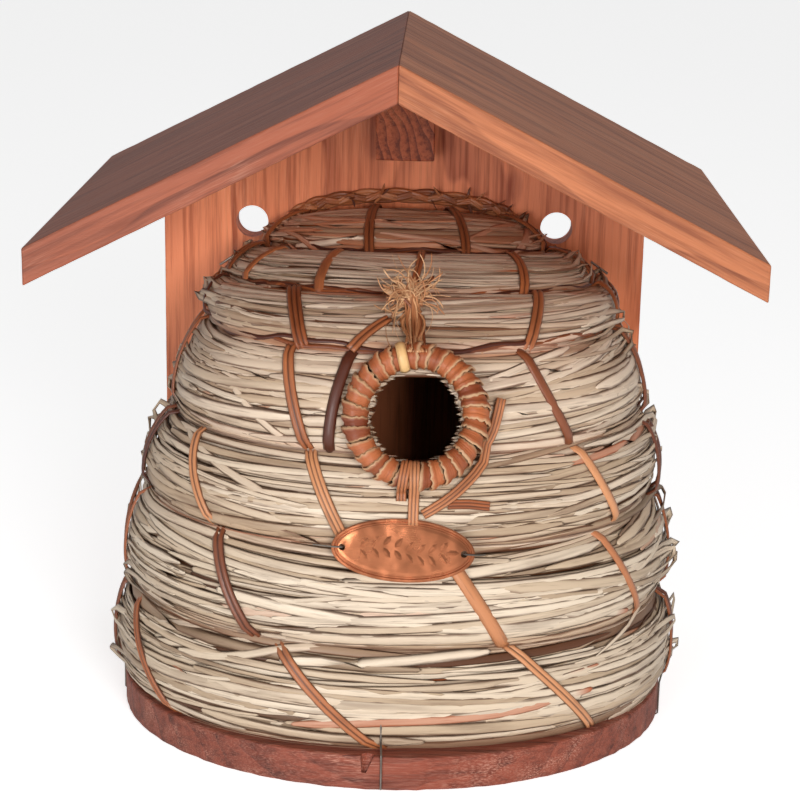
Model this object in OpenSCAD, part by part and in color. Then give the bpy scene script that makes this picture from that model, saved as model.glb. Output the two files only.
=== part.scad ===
// Wall nest box: a half skep of stitched straw rolls on a gabled wooden back, with a pitched roof.
// Millimetres. X is across the box, +Y points into the wall, Z is up.
// The origin is the middle of the underside, half way between the roof's front and the wall face.

/* [Boards] */
// Width of the backboard
board_w = 210; // [170:1:260]
// Thickness of the backboard
board_t = 12; // [9:0.5:18]
// Thickness of each roof board, square to its face
roof_t = 12; // [9:0.5:16]
// Roof slope below the horizontal
roof_pitch = 27; // [20:1:35]
// How far each eave passes the edge of the backboard
eave_overhang = 25; // [15:1:50]
// How far the roof passes the front of the base
front_overhang = 16; // [5:1:60]
// Height from the top of the straw to the underside of the ridge
headroom = 71; // [60:1:110]
// Thickness of the base
base_t = 14; // [10:0.5:20]
// How far the base passes the backboard edge on each side
base_side_lip = 7; // [2:1:12]
// How far the base passes the straw at the front
base_front_lip = 8; // [4:1:20]
// Straight part of each side of the base, measured from the backboard
base_straight = 80; // [60:1:90]

/* [Ridge block] */
// Width of the block under the ridge
block_w = 25; // [16:1:40]
// Height of the block at its sides
block_h = 41; // [25:1:45]
// Depth of the block in front of the backboard
block_d = 16; // [8:1:24]

/* [Hanging holes] */
// Distance between the two hanging holes
hang_spacing = 133; // [125:1:150]
// Radius of each hanging hole
hang_r = 7; // [4:0.5:8]
// Drop from the underside of the ridge to the holes
hang_drop = 78; // [70:1:85]

/* [Straw rows] */
// Front reach of the straw from the backboard at its foot
skep_reach = 164; // [140:1:200]
// Height of each row, from the foot to the cap
row_rise = [40, 39, 33, 37, 13, 7, 10]; // [5:1:50]
// Setback of each seam at the front, from the foot's reach
seam_setback = [0, 2, 9, 19, 32, 71, 114]; // [0:1:130]
// Inset of each seam on the left, from the base's half width
seam_inset_left = [2, 5, 11, 23, 36, 41, 54]; // [0:1:70]
// Inset of each seam on the right, from the base's half width
seam_inset_right = [2, 4, 9, 14, 27, 32, 52]; // [0:1:70]
// Straight part of each seam's side, measured from the backboard
seam_straight = [78, 78, 74, 70, 62, 40, 18]; // [10:1:90]
// Squareness of each seam's plan, where 2 is an ellipse
seam_square = [2.1, 2.1, 2.1, 2.1, 2.3, 2.4, 2.5]; // [2:0.1:3]
// Drop of each seam from its front to the backboard
seam_droop = [0, 0, 0, 2, 5, 9, 8]; // [0:1:12]
// Proud height of each roll between its seams
roll_proud = [5, 5, 5, 5, 5, 4, 5]; // [2:0.5:8]
// Thickness of the straw wall at the seams
straw_t = 14; // [10:1:18]
// Distance of each end of the cap from the edge of the backboard
cap_inset = 61; // [55:1:75]
// Drop of the cap's top edge from its middle to its ends
cap_droop = 10; // [5:1:14]

/* [Entrance] */
// Radius of the opening through the straw
entrance_r = 17.5; // [13:0.5:18]
// Offset of the entrance to the right of the middle
entrance_x = 8; // [-10:1:12]
// Height of the middle of the ring above the base
entrance_z = 128; // [122:1:132]
// Setback of the middle of the ring from the foot's reach
entrance_setback = 17; // [12:1:20]
// Backward tilt of the ring
entrance_tilt = 20; // [14:1:26]
// Thickness of the wrapped ring
ring_d = 8.8; // [6:0.2:10]
// Gap between the opening and the inside of the ring
ring_gap = 0.7; // [0.3:0.1:2]
// Thickness of the cane wrapping
wrap_t = 0.8; // [0.4:0.1:1.2]

/* [Cane] */
// Width of a stitch of split cane
cane_w = 4; // [2:0.1:6]
// Thickness of split cane
cane_t = 0.9; // [0.5:0.1:1.5]
// Clearance between a cane strip and the straw
cane_gap = 0.3; // [0.2:0.05:0.6]
// Radius of the cane bundle along the top edge
binding_r = 1.8; // [1:0.1:3]

/* [Plaque] */
// Length of the oval
plaque_l = 54; // [40:1:60]
// Height of the oval
plaque_h = 24; // [16:1:30]
// Thickness of the oval
plaque_t = 1; // [0.5:0.1:2]
// Distance between its two holes
plaque_hole_spacing = 46; // [30:1:50]
// Radius of each hole
plaque_hole_r = 1.3; // [0.8:0.1:2]
// Height of its middle above the base
plaque_z = 79; // [70:1:88]
// Setback of its back from the foot's reach
plaque_setback = 4.8; // [0:0.1:6]
// Backward tilt of the plaque
plaque_tilt = 13; // [8:1:18]
// Offset of the plaque to the right of the middle
plaque_x = 4.5; // [-10:0.5:10]

/* [Wires and fixings] */
// Radius of the tie wires
wire_r = 0.4; // [0.3:0.05:0.8]
// Radius of the plaque wires
thin_wire_r = 0.3; // [0.2:0.05:0.5]
// Distance of each outer roof nail from the middle
nail_outer_x = 90; // [60:1:95]
// Distance of each inner roof nail from the middle
nail_inner_x = 30; // [20:1:50]
// Radius of the roof nails
nail_r = 1.1; // [0.8:0.1:1.5]
// Length of the roof nails
nail_l = 32; // [25:1:45]
// Distance of each outer base screw from the middle
screw_x = 70; // [40:1:80]
// Radius of the base screws
screw_r = 1.9; // [1.5:0.1:2.5]
// Length of the base screws
screw_l = 36; // [30:1:50]

/* [Hidden] */

// Overall sizes that follow from the pieces
base_half = board_w / 2 + base_side_lip;
base_reach = skep_reach + base_front_lip;
depth = board_t + base_reach + front_overhang;
wall_y = depth / 2;
face_y = wall_y - board_t;
roof_half = board_w / 2 + eave_overhang;
slope = tan(roof_pitch);
roof_tv = roof_t / cos(roof_pitch);

// Heights of the seams, from the foot of the straw up to its top
seam_z = [for (k = [0 : len(row_rise)]) base_t + sum_to(row_rise, k)];
cap_z = seam_z[7];
under_ridge = cap_z + headroom;
ridge_top = under_ridge + roof_tv;
hang_z = under_ridge - hang_drop;

// Stations along a row: 90 is the corner of the front curve, 120 is the backboard
last_station = 120;
station_step = 5;
stations = [for (s = [-last_station : station_step : last_station]) s];
roll_steps = 8;
strip_steps = 8;
no_gap = 0.02;
eps = 0.01;

// The entrance ring's frame
ring_axis = [0, -cos(entrance_tilt), sin(entrance_tilt)];
ring_mid = [entrance_x, face_y - skep_reach + entrance_setback, base_t + entrance_z];
ring_inner = entrance_r + ring_gap;
ring_major = ring_inner + ring_d / 2;

function sum_to(v, n, i = 0) = i >= n ? 0 : v[i] + sum_to(v, n, i + 1);
function unit(v) = v / norm(v);
function clamp_s(s) = min(max(s, -last_station), last_station);
function mix(a, b, t) = a + (b - a) * t;

// A point of a D-shaped plan: x and the distance from the backboard
function plan_point(half, reach, straight, square, s) =
    abs(s) <= 90
    ? [half * sign(s) * pow(abs(sin(s)), 2 / square),
       straight + (reach - straight) * pow(abs(cos(s)), 2 / square)]
    : [half * sign(s), straight * (last_station - abs(s)) / (last_station - 90)];

// A point of seam k at station s; the last seam is the cap's edge on the backboard
function seam(k, s) = k == 7 ? cap_edge(s) : let(
    inset = s < 0 ? seam_inset_left[k] : seam_inset_right[k],
    reach = skep_reach - seam_setback[k],
    q = plan_point(base_half - inset, reach, seam_straight[k], seam_square[k], s))
    [q[0], face_y - q[1], seam_z[k] - seam_droop[k] * (1 - q[1] / reach)];
function cap_edge(s) = let(a = s * 90 / last_station)
    [(board_w / 2 - cap_inset) * sin(a), face_y, cap_z - cap_droop * (1 - cos(a))];

// Outward normal of row k, before it bulges; at the backboard it stays in the board's plane
function row_normal(k, s) = let(
    a = clamp_s(s - 2),
    b = clamp_s(s + 2),
    along = seam(k, b) + seam(k + 1, b) - seam(k, a) - seam(k + 1, a),
    n = unit(cross(along, seam(k + 1, s) - seam(k, s))))
    abs(s) >= last_station ? unit([n[0], 0, n[2]]) : n;

// Outer surface of row k: t runs from its lower seam to its upper seam
function skin(k, s, t) = let(
    p = mix(seam(k, s), seam(k + 1, s), t)
        + row_normal(k, s) * roll_proud[k] * pow(max(4 * t * (1 - t), 0), 0.75))
    [p[0], min(p[1], face_y), p[2]];
function skin_normal(k, s, t) = unit(cross(
    skin(k, clamp_s(s + 1), t) - skin(k, clamp_s(s - 1), t),
    skin(k, s, min(t + 0.04, 1)) - skin(k, s, max(t - 0.04, 0))));

// Inner edge of seam k, square to the straw wall
function seam_inner(k, s) = let(
    a = clamp_s(s - 2),
    b = clamp_s(s + 2),
    up = k == 0 ? [0, 0, 1] : seam(k + 1, s) - seam(k - 1, s),
    n = unit(cross(seam(k, b) - seam(k, a), up)),
    m = abs(s) >= last_station ? unit([n[0], 0, n[2]]) : n,
    p = seam(k, s) - m * straw_t)
    [p[0], min(p[1], face_y), p[2]];

// Rings of points joined into one closed solid
module loft(rings) {
    m = len(rings[0]);
    n = len(rings);
    quads = [for (i = [0 : n - 2], j = [0 : m - 1]) let(
        a = i * m + j,
        b = i * m + (j + 1) % m,
        c = a + m,
        d = b + m)
        each (j == m - 1 ? [[a, c, b], [b, c, d]] : [[a, c, d], [a, d, b]])];
    first = [for (j = [0 : m - 1]) j];
    last = [for (j = [m - 1 : -1 : 0]) (n - 1) * m + j];
    polyhedron(points = [for (r = rings) each r], faces = concat(quads, [first, last]));
}

// One straw row, open to the backboard
module straw_roll(k) {
    loft([for (s = stations) concat(
        [for (i = [0 : roll_steps]) skin(k, s, i / roll_steps)],
        [seam_inner(k + 1, s), seam_inner(k, s)])]);
}

// The cap is solid: its edge lies on the backboard and its underside closes the nest
module straw_cap() {
    k = 6;
    m = roll_steps + 2;
    n = len(stations);
    rings = [for (s = stations) concat(
        [seam_inner(k, s)],
        [for (i = [0 : roll_steps]) skin(k, s, i / roll_steps)])];
    hub = [0, face_y, seam_inner(k, last_station)[2]];
    hub_index = n * m;
    quads = [for (i = [0 : n - 2], j = [0 : m - 2]) let(
        a = i * m + j,
        b = a + 1,
        c = a + m,
        d = c + 1)
        each (j == 0 ? [[a, c, b], [b, c, d]] : [[a, c, d], [a, d, b]])];
    under = [for (i = [0 : n - 2]) [i * m, hub_index, (i + 1) * m]];
    back = concat(
        [hub_index],
        [for (j = [0 : m - 1]) j],
        [for (i = [1 : n - 2]) i * m + m - 1],
        [for (j = [m - 1 : -1 : 0]) (n - 1) * m + j]);
    polyhedron(points = [for (r = rings) each r, hub], faces = concat(quads, under, [back]));
}

// Tools that open the entrance and flatten a seat for the ring
module entrance_cut() {
    translate(ring_mid) rotate([90 - entrance_tilt, 0, 0]) {
        translate([0, 0, -60]) cylinder(r = entrance_r, h = 90, $fn = 64);
        translate([0, 0, -ring_d / 2 - no_gap])
            cylinder(r = ring_major + ring_d / 2 + cane_gap, h = 40, $fn = 64);
    }
}

// A strip of cane that follows a list of points, lying flat on the normals given
module strip(points, normals, w = cane_w, t = cane_t) {
    n = len(points);
    loft([for (i = [0 : n - 1]) let(
        dir = unit(points[min(i + 1, n - 1)] - points[max(i - 1, 0)]),
        side = unit(cross(dir, normals[i])),
        up = unit(cross(side, dir)))
        [points[i] - side * w / 2,
         points[i] - side * w / 2 + up * t * 0.7,
         points[i] + up * t,
         points[i] + side * w / 2 + up * t * 0.7,
         points[i] + side * w / 2]]);
}

// A stitch over row k, from station s0 at its foot to station s1 at its top
module stitch(k, s0, s1, w = cane_w, from = 0.06, to = 0.94) {
    steps = [for (i = [0 : strip_steps]) mix(from, to, i / strip_steps)];
    strip([for (t = steps) skin(k, mix(s0, s1, t), t) + skin_normal(k, mix(s0, s1, t), t) * cane_gap],
          [for (t = steps) skin_normal(k, mix(s0, s1, t), t)], w);
}

// A round wire or bundle along a list of points
module wire(points, r, sides = 8) {
    n = len(points);
    start = unit(points[1] - points[0]);
    aside = unit(cross(start, abs(start[0]) < 0.9 ? [1, 0, 0] : [0, 1, 0]));
    loft([for (i = [0 : n - 1]) let(
        dir = unit(points[min(i + 1, n - 1)] - points[max(i - 1, 0)]),
        u = unit(aside - dir * (aside * dir)),
        v = cross(dir, u))
        [for (j = [0 : sides - 1]) points[i] + r * (cos(-j * 360 / sides) * u + sin(-j * 360 / sides) * v)]]);
}

// Places children at a point of the roof's top, with Z square to the slope
module on_roof(x, y) {
    translate([x, y, ridge_top - abs(x) * slope])
        rotate([0, x < 0 ? -roof_pitch : roof_pitch, 0]) children();
}

module nail_bore(play = 0) {
    translate([0, 0, -nail_l]) cylinder(r = nail_r + play, h = nail_l + 1, $fn = 24);
    translate([0, 0, -1.2]) cylinder(r = nail_r * 2.3 + play, h = 3, $fn = 24);
}

module at_nails(side) {
    for (x = [nail_inner_x, nail_outer_x]) on_roof(side * x, wall_y - board_t / 2) children();
}

module at_screws() {
    for (x = [-screw_x, 0, screw_x])
        translate([x, wall_y, base_t / 2]) rotate([90, 0, 0]) children();
}

module screw_bore(play = 0) {
    cylinder(r = screw_r + play, h = screw_l, $fn = 24);
    translate([0, 0, -eps]) cylinder(r1 = screw_r * 1.9 + play, r2 = screw_r + play, h = 3, $fn = 24);
}

// Wires come down over the base's edge, run back in a groove and rise inside the straw
wire_stations = [-88, -1, 80];
function base_edge(s) = let(q = plan_point(base_half, base_reach, base_straight, 2, s))
    [q[0], face_y - q[1], 0];
function wire_in(s) = let(e = base_edge(s), q = seam_inner(0, s)) unit([q[0] - e[0], q[1] - e[1], 0]);
wire_run = 32;
groove = 1.2;

module tie_wire(s) {
    e = base_edge(s);
    d = wire_in(s);
    foot = skin(0, s, 0.3);
    out = wire_r + cane_gap;
    wire([foot - d * (out + 0.5),
          skin(0, s, 0.1) - d * (out + 0.8),
          e - d * out + [0, 0, base_t + 0.8],
          e - d * out + [0, 0, base_t - 1],
          e - d * out + [0, 0, groove],
          e + [0, 0, groove / 2],
          e + d * (wire_run - 1) + [0, 0, groove / 2],
          e + d * wire_run + [0, 0, groove / 2 + 1],
          e + d * wire_run + [0, 0, base_t + 4]], wire_r);
}

module wire_channel(s) {
    e = base_edge(s);
    d = wire_in(s);
    angle = atan2(d[1], d[0]);
    translate(e) rotate(angle) {
        translate([-3, -groove / 2, -eps]) cube([wire_run + 3 + groove / 2, groove, groove + eps]);
        translate([wire_run, 0, -1]) cylinder(r = wire_r + cane_gap, h = base_t + 2, $fn = 16);
    }
}

module backboard() {
    color("peru") difference() {
        translate([0, wall_y, 0]) rotate([90, 0, 0]) linear_extrude(board_t) polygon([
            [-board_w / 2, 0],
            [board_w / 2, 0],
            [board_w / 2, under_ridge - board_w / 2 * slope],
            [0, under_ridge],
            [-board_w / 2, under_ridge - board_w / 2 * slope]]);
        for (side = [-1, 1])
            translate([side * hang_spacing / 2, wall_y + 1, hang_z])
                rotate([90, 0, 0]) cylinder(r = hang_r, h = board_t + 2, $fn = 48);
        for (side = [-1, 1]) at_nails(side) nail_bore(no_gap);
        at_screws() screw_bore(no_gap);
        at_staples() staple_legs(no_gap);
    }
}

module roof_board(side) {
    difference() {
        translate([0, wall_y, 0]) rotate([90, 0, 0]) linear_extrude(depth) polygon([
            [0, under_ridge],
            [side * roof_half, under_ridge - roof_half * slope],
            [side * roof_half, ridge_top - roof_half * slope],
            [0, ridge_top]]);
        at_nails(side) nail_bore(no_gap);
    }
}

module roof_left() {
    color("sienna") roof_board(-1);
}

module roof_right() {
    color("sienna") roof_board(1);
}

module ridge_block() {
    color("chocolate") translate([0, face_y, 0]) rotate([90, 0, 0]) linear_extrude(block_d) polygon([
        [-block_w / 2, under_ridge - block_w / 2 * slope - block_h],
        [block_w / 2, under_ridge - block_w / 2 * slope - block_h],
        [block_w / 2, under_ridge - block_w / 2 * slope],
        [0, under_ridge],
        [-block_w / 2, under_ridge - block_w / 2 * slope]]);
}

module base_board() {
    notch_w = 3;
    notch_d = 6;
    notch_x = -7;
    color("brown") difference() {
        linear_extrude(base_t) polygon([for (s = [-last_station : 3 : last_station])
            let(e = base_edge(s)) [e[0], e[1]]]);
        translate([notch_x - notch_w / 2, face_y - base_reach - 1, base_t - notch_d])
            cube([notch_w, notch_d, notch_d + 1]);
        for (s = wire_stations) wire_channel(s);
        at_screws() screw_bore(no_gap);
    }
}

module straw_row_1() {
    color("wheat") straw_roll(0);
}

module straw_row_2() {
    color("burlywood") straw_roll(1);
}

module straw_row_3() {
    color("wheat") difference() {
        straw_roll(2);
        entrance_cut();
    }
}

module straw_row_4() {
    color("burlywood") difference() {
        straw_roll(3);
        entrance_cut();
    }
}

module straw_row_5() {
    color("wheat") difference() {
        straw_roll(4);
        entrance_cut();
    }
}

module straw_row_6() {
    color("burlywood") straw_roll(5);
}

module straw_row_7() {
    color("wheat") straw_cap();
}

module ring_section(r) {
    translate([ring_major, 0]) circle(r = r, $fn = 32);
}

module at_ring() {
    translate(ring_mid) rotate([90 - entrance_tilt, 0, 0]) children();
}

module entrance_core() {
    color("tan") at_ring() rotate_extrude($fn = 72) ring_section(ring_d / 2 - wrap_t - no_gap);
}

module entrance_wrap() {
    color("peru") at_ring() rotate_extrude($fn = 72) difference() {
        ring_section(ring_d / 2);
        ring_section(ring_d / 2 - wrap_t);
    }
}

// A point on the wrapped ring: angle round the entrance from the right, then round the section
function ring_point(a, b, out = 0) = let(
    r = ring_major + (ring_d / 2 + out) * cos(b),
    h = (ring_d / 2 + out) * sin(b),
    u = [1, 0, 0],
    v = [0, sin(entrance_tilt), cos(entrance_tilt)])
    ring_mid + u * r * cos(a) + v * r * sin(a) + ring_axis * h;
function ring_out(a, b) = ring_point(a, b, 1) - ring_point(a, b, 0);

// A tie over the ring at angle a, from inside the opening to the straw
module ring_tie(a, w) {
    turn = [for (i = [0 : 6]) mix(165, 20, i / 6)];
    strip([for (b = turn) ring_point(a, b, cane_gap)], [for (b = turn) ring_out(a, b)], w);
}

// A tie that lies on row k, between two stations at two heights of the row
module lying_tie(k, s0, t0, s1, t1, w, lift = cane_gap) {
    f = [for (i = [0 : strip_steps]) i / strip_steps];
    strip([for (i = f) skin(k, mix(s0, s1, i), mix(t0, t1, i))
              + skin_normal(k, mix(s0, s1, i), mix(t0, t1, i)) * lift],
          [for (i = f) skin_normal(k, mix(s0, s1, i), mix(t0, t1, i))], w);
}

// Two ties stand side by side at the foot of the ring, this far apart along its inside
foot_tie = 272;
foot_tie_pitch = 3.8;

module ring_ties() {
    color("goldenrod") {
        ring_tie(104, 3.4);
        ring_tie(foot_tie, 3.2);
        ring_tie(foot_tie - foot_tie_pitch / ring_inner * 180 / PI, 3);
        lying_tie(2, 4.5, 0.42, 17, 0.9, 3.4);
        lying_tie(2, 12, 0.46, 19, 0.4, 3);
        lying_tie(2, 0.8, 0.42, 0.8, 0.6, 5.6);
    }
}

module raffia_knot() {
    color("burlywood") hull() {
        translate(skin(4, 1, 0.3) + skin_normal(4, 1, 0.3) * 4.3) sphere(r = 4, $fn = 16);
        translate(skin(4, 3, 0.6) + skin_normal(4, 3, 0.6) * 5.3) sphere(r = 5, $fn = 16);
    }
}

module row_stitches_1() {
    color("saddlebrown") for (p = [[-0.5, -23], [-48, -70], [46, 23]]) stitch(0, p[0], p[1]);
}

module row_stitches_2() {
    color("saddlebrown") for (p = [[-27, -40], [23, 9], [63, 47]]) stitch(1, p[0], p[1]);
}

module row_stitches_3() {
    color("saddlebrown") for (p = [[-41, -57], [-8, -20], [57, 43]]) stitch(2, p[0], p[1]);
}

module row_stitches_4() {
    color("sienna") for (p = [[-20, -29], [-15, -9.5], [43, 30]]) stitch(3, p[0], p[1]);
}

module row_stitches_5() {
    color("saddlebrown") {
        for (p = [[-25, -32], [33, 39]]) stitch(4, p[0], p[1]);
        lying_tie(4, -10, 0.06, -2, 0.3, cane_w);
    }
}

module row_stitches_6() {
    color("saddlebrown") for (p = [[-62, -50], [-23, -20], [2, 5], [34, 42]]) stitch(5, p[0], p[1]);
}

module row_stitches_7() {
    color("saddlebrown") for (p = [[-9, -20], [21, 33]]) stitch(6, p[0], p[1], cane_w, 0.06, 0.8);
}

module edge_binding(side) {
    for (k = [0 : 6])
        stitch(k, side * 84, side * 84, 3, k == 0 ? 0.45 : 0.08, k == 6 ? 0.8 : 0.92);
}

module edge_binding_left() {
    color("sienna") edge_binding(-1);
}

module edge_binding_right() {
    color("sienna") edge_binding(1);
}

module top_binding() {
    lift = binding_r + cane_gap;
    above = roll_proud[6] * 0.8;
    color("sienna") wire([for (s = [-108 : 9 : 108]) let(
        along = cap_edge(s + 1) - cap_edge(s - 1),
        out = unit([-along[2], 0, along[0]]))
        cap_edge(s) + out * (lift + above) - [0, lift, 0]], binding_r);
}

module at_plaque() {
    translate([plaque_x, face_y - skep_reach + plaque_setback, base_t + plaque_z])
        rotate([90 - plaque_tilt, 0, 0]) rotate(-2) children();
}

module name_plaque() {
    color("darksalmon") at_plaque() difference() {
        linear_extrude(plaque_t) scale([plaque_l / plaque_h, 1]) circle(d = plaque_h, $fn = 96);
        for (side = [-1, 1]) translate([side * plaque_hole_spacing / 2, 0, -1])
            cylinder(r = plaque_hole_r, h = plaque_t + 2, $fn = 24);
    }
}

// A plaque wire comes through its hole and bends outwards over the rim
module plaque_wire(side, far) {
    x = plaque_hole_spacing / 2;
    top = plaque_t + thin_wire_r + 0.2;
    at_plaque() wire([[side * x, 0, -1.6],
                      [side * x, 0, plaque_t],
                      [side * (x + 0.8), 0, top],
                      [side * (x + 4), 0, top],
                      [side * (x + 6), 0, plaque_t / 2],
                      [side * (x + far), 0, -1.8]], thin_wire_r);
}

module plaque_wire_left() {
    color("dimgray") plaque_wire(-1, 11);
}

module plaque_wire_right() {
    color("dimgray") plaque_wire(1, 8);
}

module tie_wire_left() {
    color("dimgray") tie_wire(wire_stations[0]);
}

module tie_wire_centre() {
    color("dimgray") tie_wire(wire_stations[1]);
}

module tie_wire_right() {
    color("dimgray") tie_wire(wire_stations[2]);
}

// Wire staples on the backboard, beside the ends of the upper rows
staple_w = 8;
staple_r = 0.5;
staple_leg = 8;
staple_out = 6;
function staple_spot(side) = let(p = seam(5, side * last_station)) [p[0] + side * staple_out, p[2] + 2];

module at_staples() {
    for (side = [-1, 1]) let(p = staple_spot(side))
        translate([p[0], face_y, p[1]]) rotate([0, side * 35, 0]) children();
}

module staple_legs(play = 0) {
    for (side = [-1, 1]) translate([side * staple_w / 2, 0, 0])
        rotate([-90, 0, 0]) cylinder(r = staple_r + play, h = staple_leg, $fn = 16);
}

module edge_staples() {
    color("silver") at_staples() union() {
        staple_legs();
        translate([0, -staple_r, 0]) rotate([0, 90, 0])
            cylinder(r = staple_r, h = staple_w + 2 * staple_r, center = true, $fn = 16);
        for (side = [-1, 1]) translate([side * staple_w / 2, -staple_r, 0])
            rotate([-90, 0, 0]) cylinder(r = staple_r, h = staple_r + eps, $fn = 16);
    }
}

module roof_nails() {
    color("gray") for (side = [-1, 1]) at_nails(side) union() {
        translate([0, 0, -nail_l]) cylinder(r = nail_r, h = nail_l - 1, $fn = 24);
        translate([0, 0, -1.2]) cylinder(r = nail_r * 2.3, h = 1, $fn = 24);
    }
}

module base_screws() {
    color("gray") at_screws() union() {
        translate([0, 0, 0.2]) cylinder(r = screw_r, h = screw_l - 0.2, $fn = 24);
        translate([0, 0, 0.2]) cylinder(r1 = screw_r * 1.9 - 0.1, r2 = screw_r, h = 2.8, $fn = 24);
    }
}

backboard();
roof_left();
roof_right();
ridge_block();
base_board();
straw_row_1();
straw_row_2();
straw_row_3();
straw_row_4();
straw_row_5();
straw_row_6();
straw_row_7();
entrance_core();
entrance_wrap();
ring_ties();
raffia_knot();
row_stitches_1();
row_stitches_2();
row_stitches_3();
row_stitches_4();
row_stitches_5();
row_stitches_6();
row_stitches_7();
edge_binding_left();
edge_binding_right();
top_binding();
name_plaque();
plaque_wire_left();
plaque_wire_right();
tie_wire_left();
tie_wire_centre();
tie_wire_right();
edge_staples();
roof_nails();
base_screws();
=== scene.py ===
"""Wall nest box: the visible pieces of a half skep of laid straw on a gabled board.

Row frame: metres, X across the box, +Y into the wall, Z up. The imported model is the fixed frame,
and each piece below stands round it or in place of one of its nodes.
"""
import math
import random

import bmesh
import bpy
import numpy as np
from mathutils import Matrix, Vector, noise


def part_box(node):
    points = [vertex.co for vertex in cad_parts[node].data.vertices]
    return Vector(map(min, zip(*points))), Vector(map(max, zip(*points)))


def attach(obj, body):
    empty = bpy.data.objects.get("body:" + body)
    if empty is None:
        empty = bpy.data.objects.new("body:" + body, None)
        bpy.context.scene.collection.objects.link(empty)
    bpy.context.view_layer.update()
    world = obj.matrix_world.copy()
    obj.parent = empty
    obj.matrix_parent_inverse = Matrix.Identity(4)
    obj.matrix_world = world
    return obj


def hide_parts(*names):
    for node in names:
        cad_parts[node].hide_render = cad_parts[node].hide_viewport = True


bl_info = {
    "name": "Straw nest box",
    "version": (1, 0, 0),
    "blender": (4, 5, 0),
    "location": "View3D > Sidebar > Nest Box",
    "description": "Builds a wall nest box of laid straw, cane and boards round its frame",
    "category": "Object",
}

MM = 0.001
BODY = "root"
LAST_STATION = 120.0
CORNER_STATION = 90.0
ROWS = 7
GRID_STATIONS = np.arange(-LAST_STATION, LAST_STATION + 1)
GRID_HEIGHTS = np.linspace(-0.05, 1.05, 34)

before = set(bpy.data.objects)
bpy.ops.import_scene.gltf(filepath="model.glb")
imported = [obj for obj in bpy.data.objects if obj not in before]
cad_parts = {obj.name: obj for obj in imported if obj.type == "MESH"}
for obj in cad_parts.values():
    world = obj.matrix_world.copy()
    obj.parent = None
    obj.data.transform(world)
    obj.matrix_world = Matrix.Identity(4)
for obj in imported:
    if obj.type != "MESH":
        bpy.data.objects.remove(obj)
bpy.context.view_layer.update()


def srgb(red, green, blue):
    """A display colour, 0 to 255, as the linear colour that shaders take."""
    parts = [c / 255 for c in (red, green, blue)]
    return tuple(c / 12.92 if c <= 0.04045 else ((c + 0.055) / 1.055) ** 2.4 for c in parts)


def length_property(name, description, default, size=0):
    """A length in metres, or a list of them."""
    if size:
        return bpy.props.FloatVectorProperty(
            name=name, description=description, default=default, size=size, unit="LENGTH", precision=4)
    return bpy.props.FloatProperty(
        name=name, description=description, default=default, unit="LENGTH", precision=4)


def colour_property(name, description, default):
    return bpy.props.FloatVectorProperty(
        name=name, description=description, default=default, size=3, subtype="COLOR", min=0, max=1)


class SkepSizes(bpy.types.PropertyGroup):
    """The straw body: its seams from the foot up, and the bulge of each row between them."""

    rise: length_property(
        "Row heights", "Height of each row, from the foot to the cap",
        (0.040, 0.039, 0.033, 0.037, 0.013, 0.007, 0.010), ROWS)
    setback: length_property(
        "Seam setbacks", "Setback of each seam at the front",
        (0, 0.002, 0.009, 0.019, 0.032, 0.071, 0.114), ROWS)
    inset_left: length_property(
        "Left insets", "Inset of each seam on the left",
        (0.002, 0.005, 0.011, 0.023, 0.036, 0.041, 0.054), ROWS)
    inset_right: length_property(
        "Right insets", "Inset of each seam on the right",
        (0.002, 0.004, 0.009, 0.014, 0.027, 0.032, 0.052), ROWS)
    straight: length_property(
        "Straight sides", "Straight part of each seam's side",
        (0.078, 0.078, 0.074, 0.070, 0.062, 0.040, 0.018), ROWS)
    droop: length_property(
        "Seam droop", "Drop of each seam from its front to the backboard",
        (0, 0, 0, 0.002, 0.005, 0.009, 0.008), ROWS)
    proud: length_property(
        "Row bulge", "Proud height of each row between its seams",
        (0.005, 0.005, 0.005, 0.005, 0.005, 0.004, 0.005), ROWS)
    square: bpy.props.FloatVectorProperty(
        name="Squareness", description="Squareness of each seam's plan, where 2 is an ellipse",
        default=(2.1, 2.1, 2.1, 2.1, 2.3, 2.4, 2.5), size=ROWS)
    reach: length_property("Reach", "Front reach of the straw from the backboard at its foot", 0.164)
    cap_half: length_property("Cap half width", "Half width of the cap on the backboard", 0.044)
    cap_droop: length_property("Cap droop", "Drop of the cap's edge from its middle to its ends", 0.010)


class StrawLook(bpy.types.PropertyGroup):
    """The blades of straw and their colours."""

    blade_width: length_property("Blade width", "Middling width of a blade", 0.0036)
    blade_thickness: length_property("Blade thickness", "Thickness of a blade", 0.0005)
    bed_depth: length_property("Bed depth", "Depth of the laid blades under the skin", 0.0034)
    layers: bpy.props.IntProperty(name="Layers", description="Layers of blades in a row", default=5, min=2)
    seed: bpy.props.IntProperty(name="Seed", description="Seed of the blades' places", default=31)
    pale: colour_property("Pale straw", "Colour of the palest blades", srgb(223, 205, 182))
    middle: colour_property("Middle straw", "Colour of most blades", srgb(190, 166, 138))
    dark: colour_property("Dark straw", "Colour of the darkest blades", srgb(82, 48, 27))
    # The brown of blade ends, also used as painted shade at the seams and on the upper rows.
    scorched_and_shade: colour_property("Brown ends", "Colour of brown blade ends", srgb(176, 86, 38))
    # The bed is near black: painted shade in the gaps between the blades.
    bed: colour_property("Bed", "Colour of the packed straw behind the blades", srgb(26, 13, 7))


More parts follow.
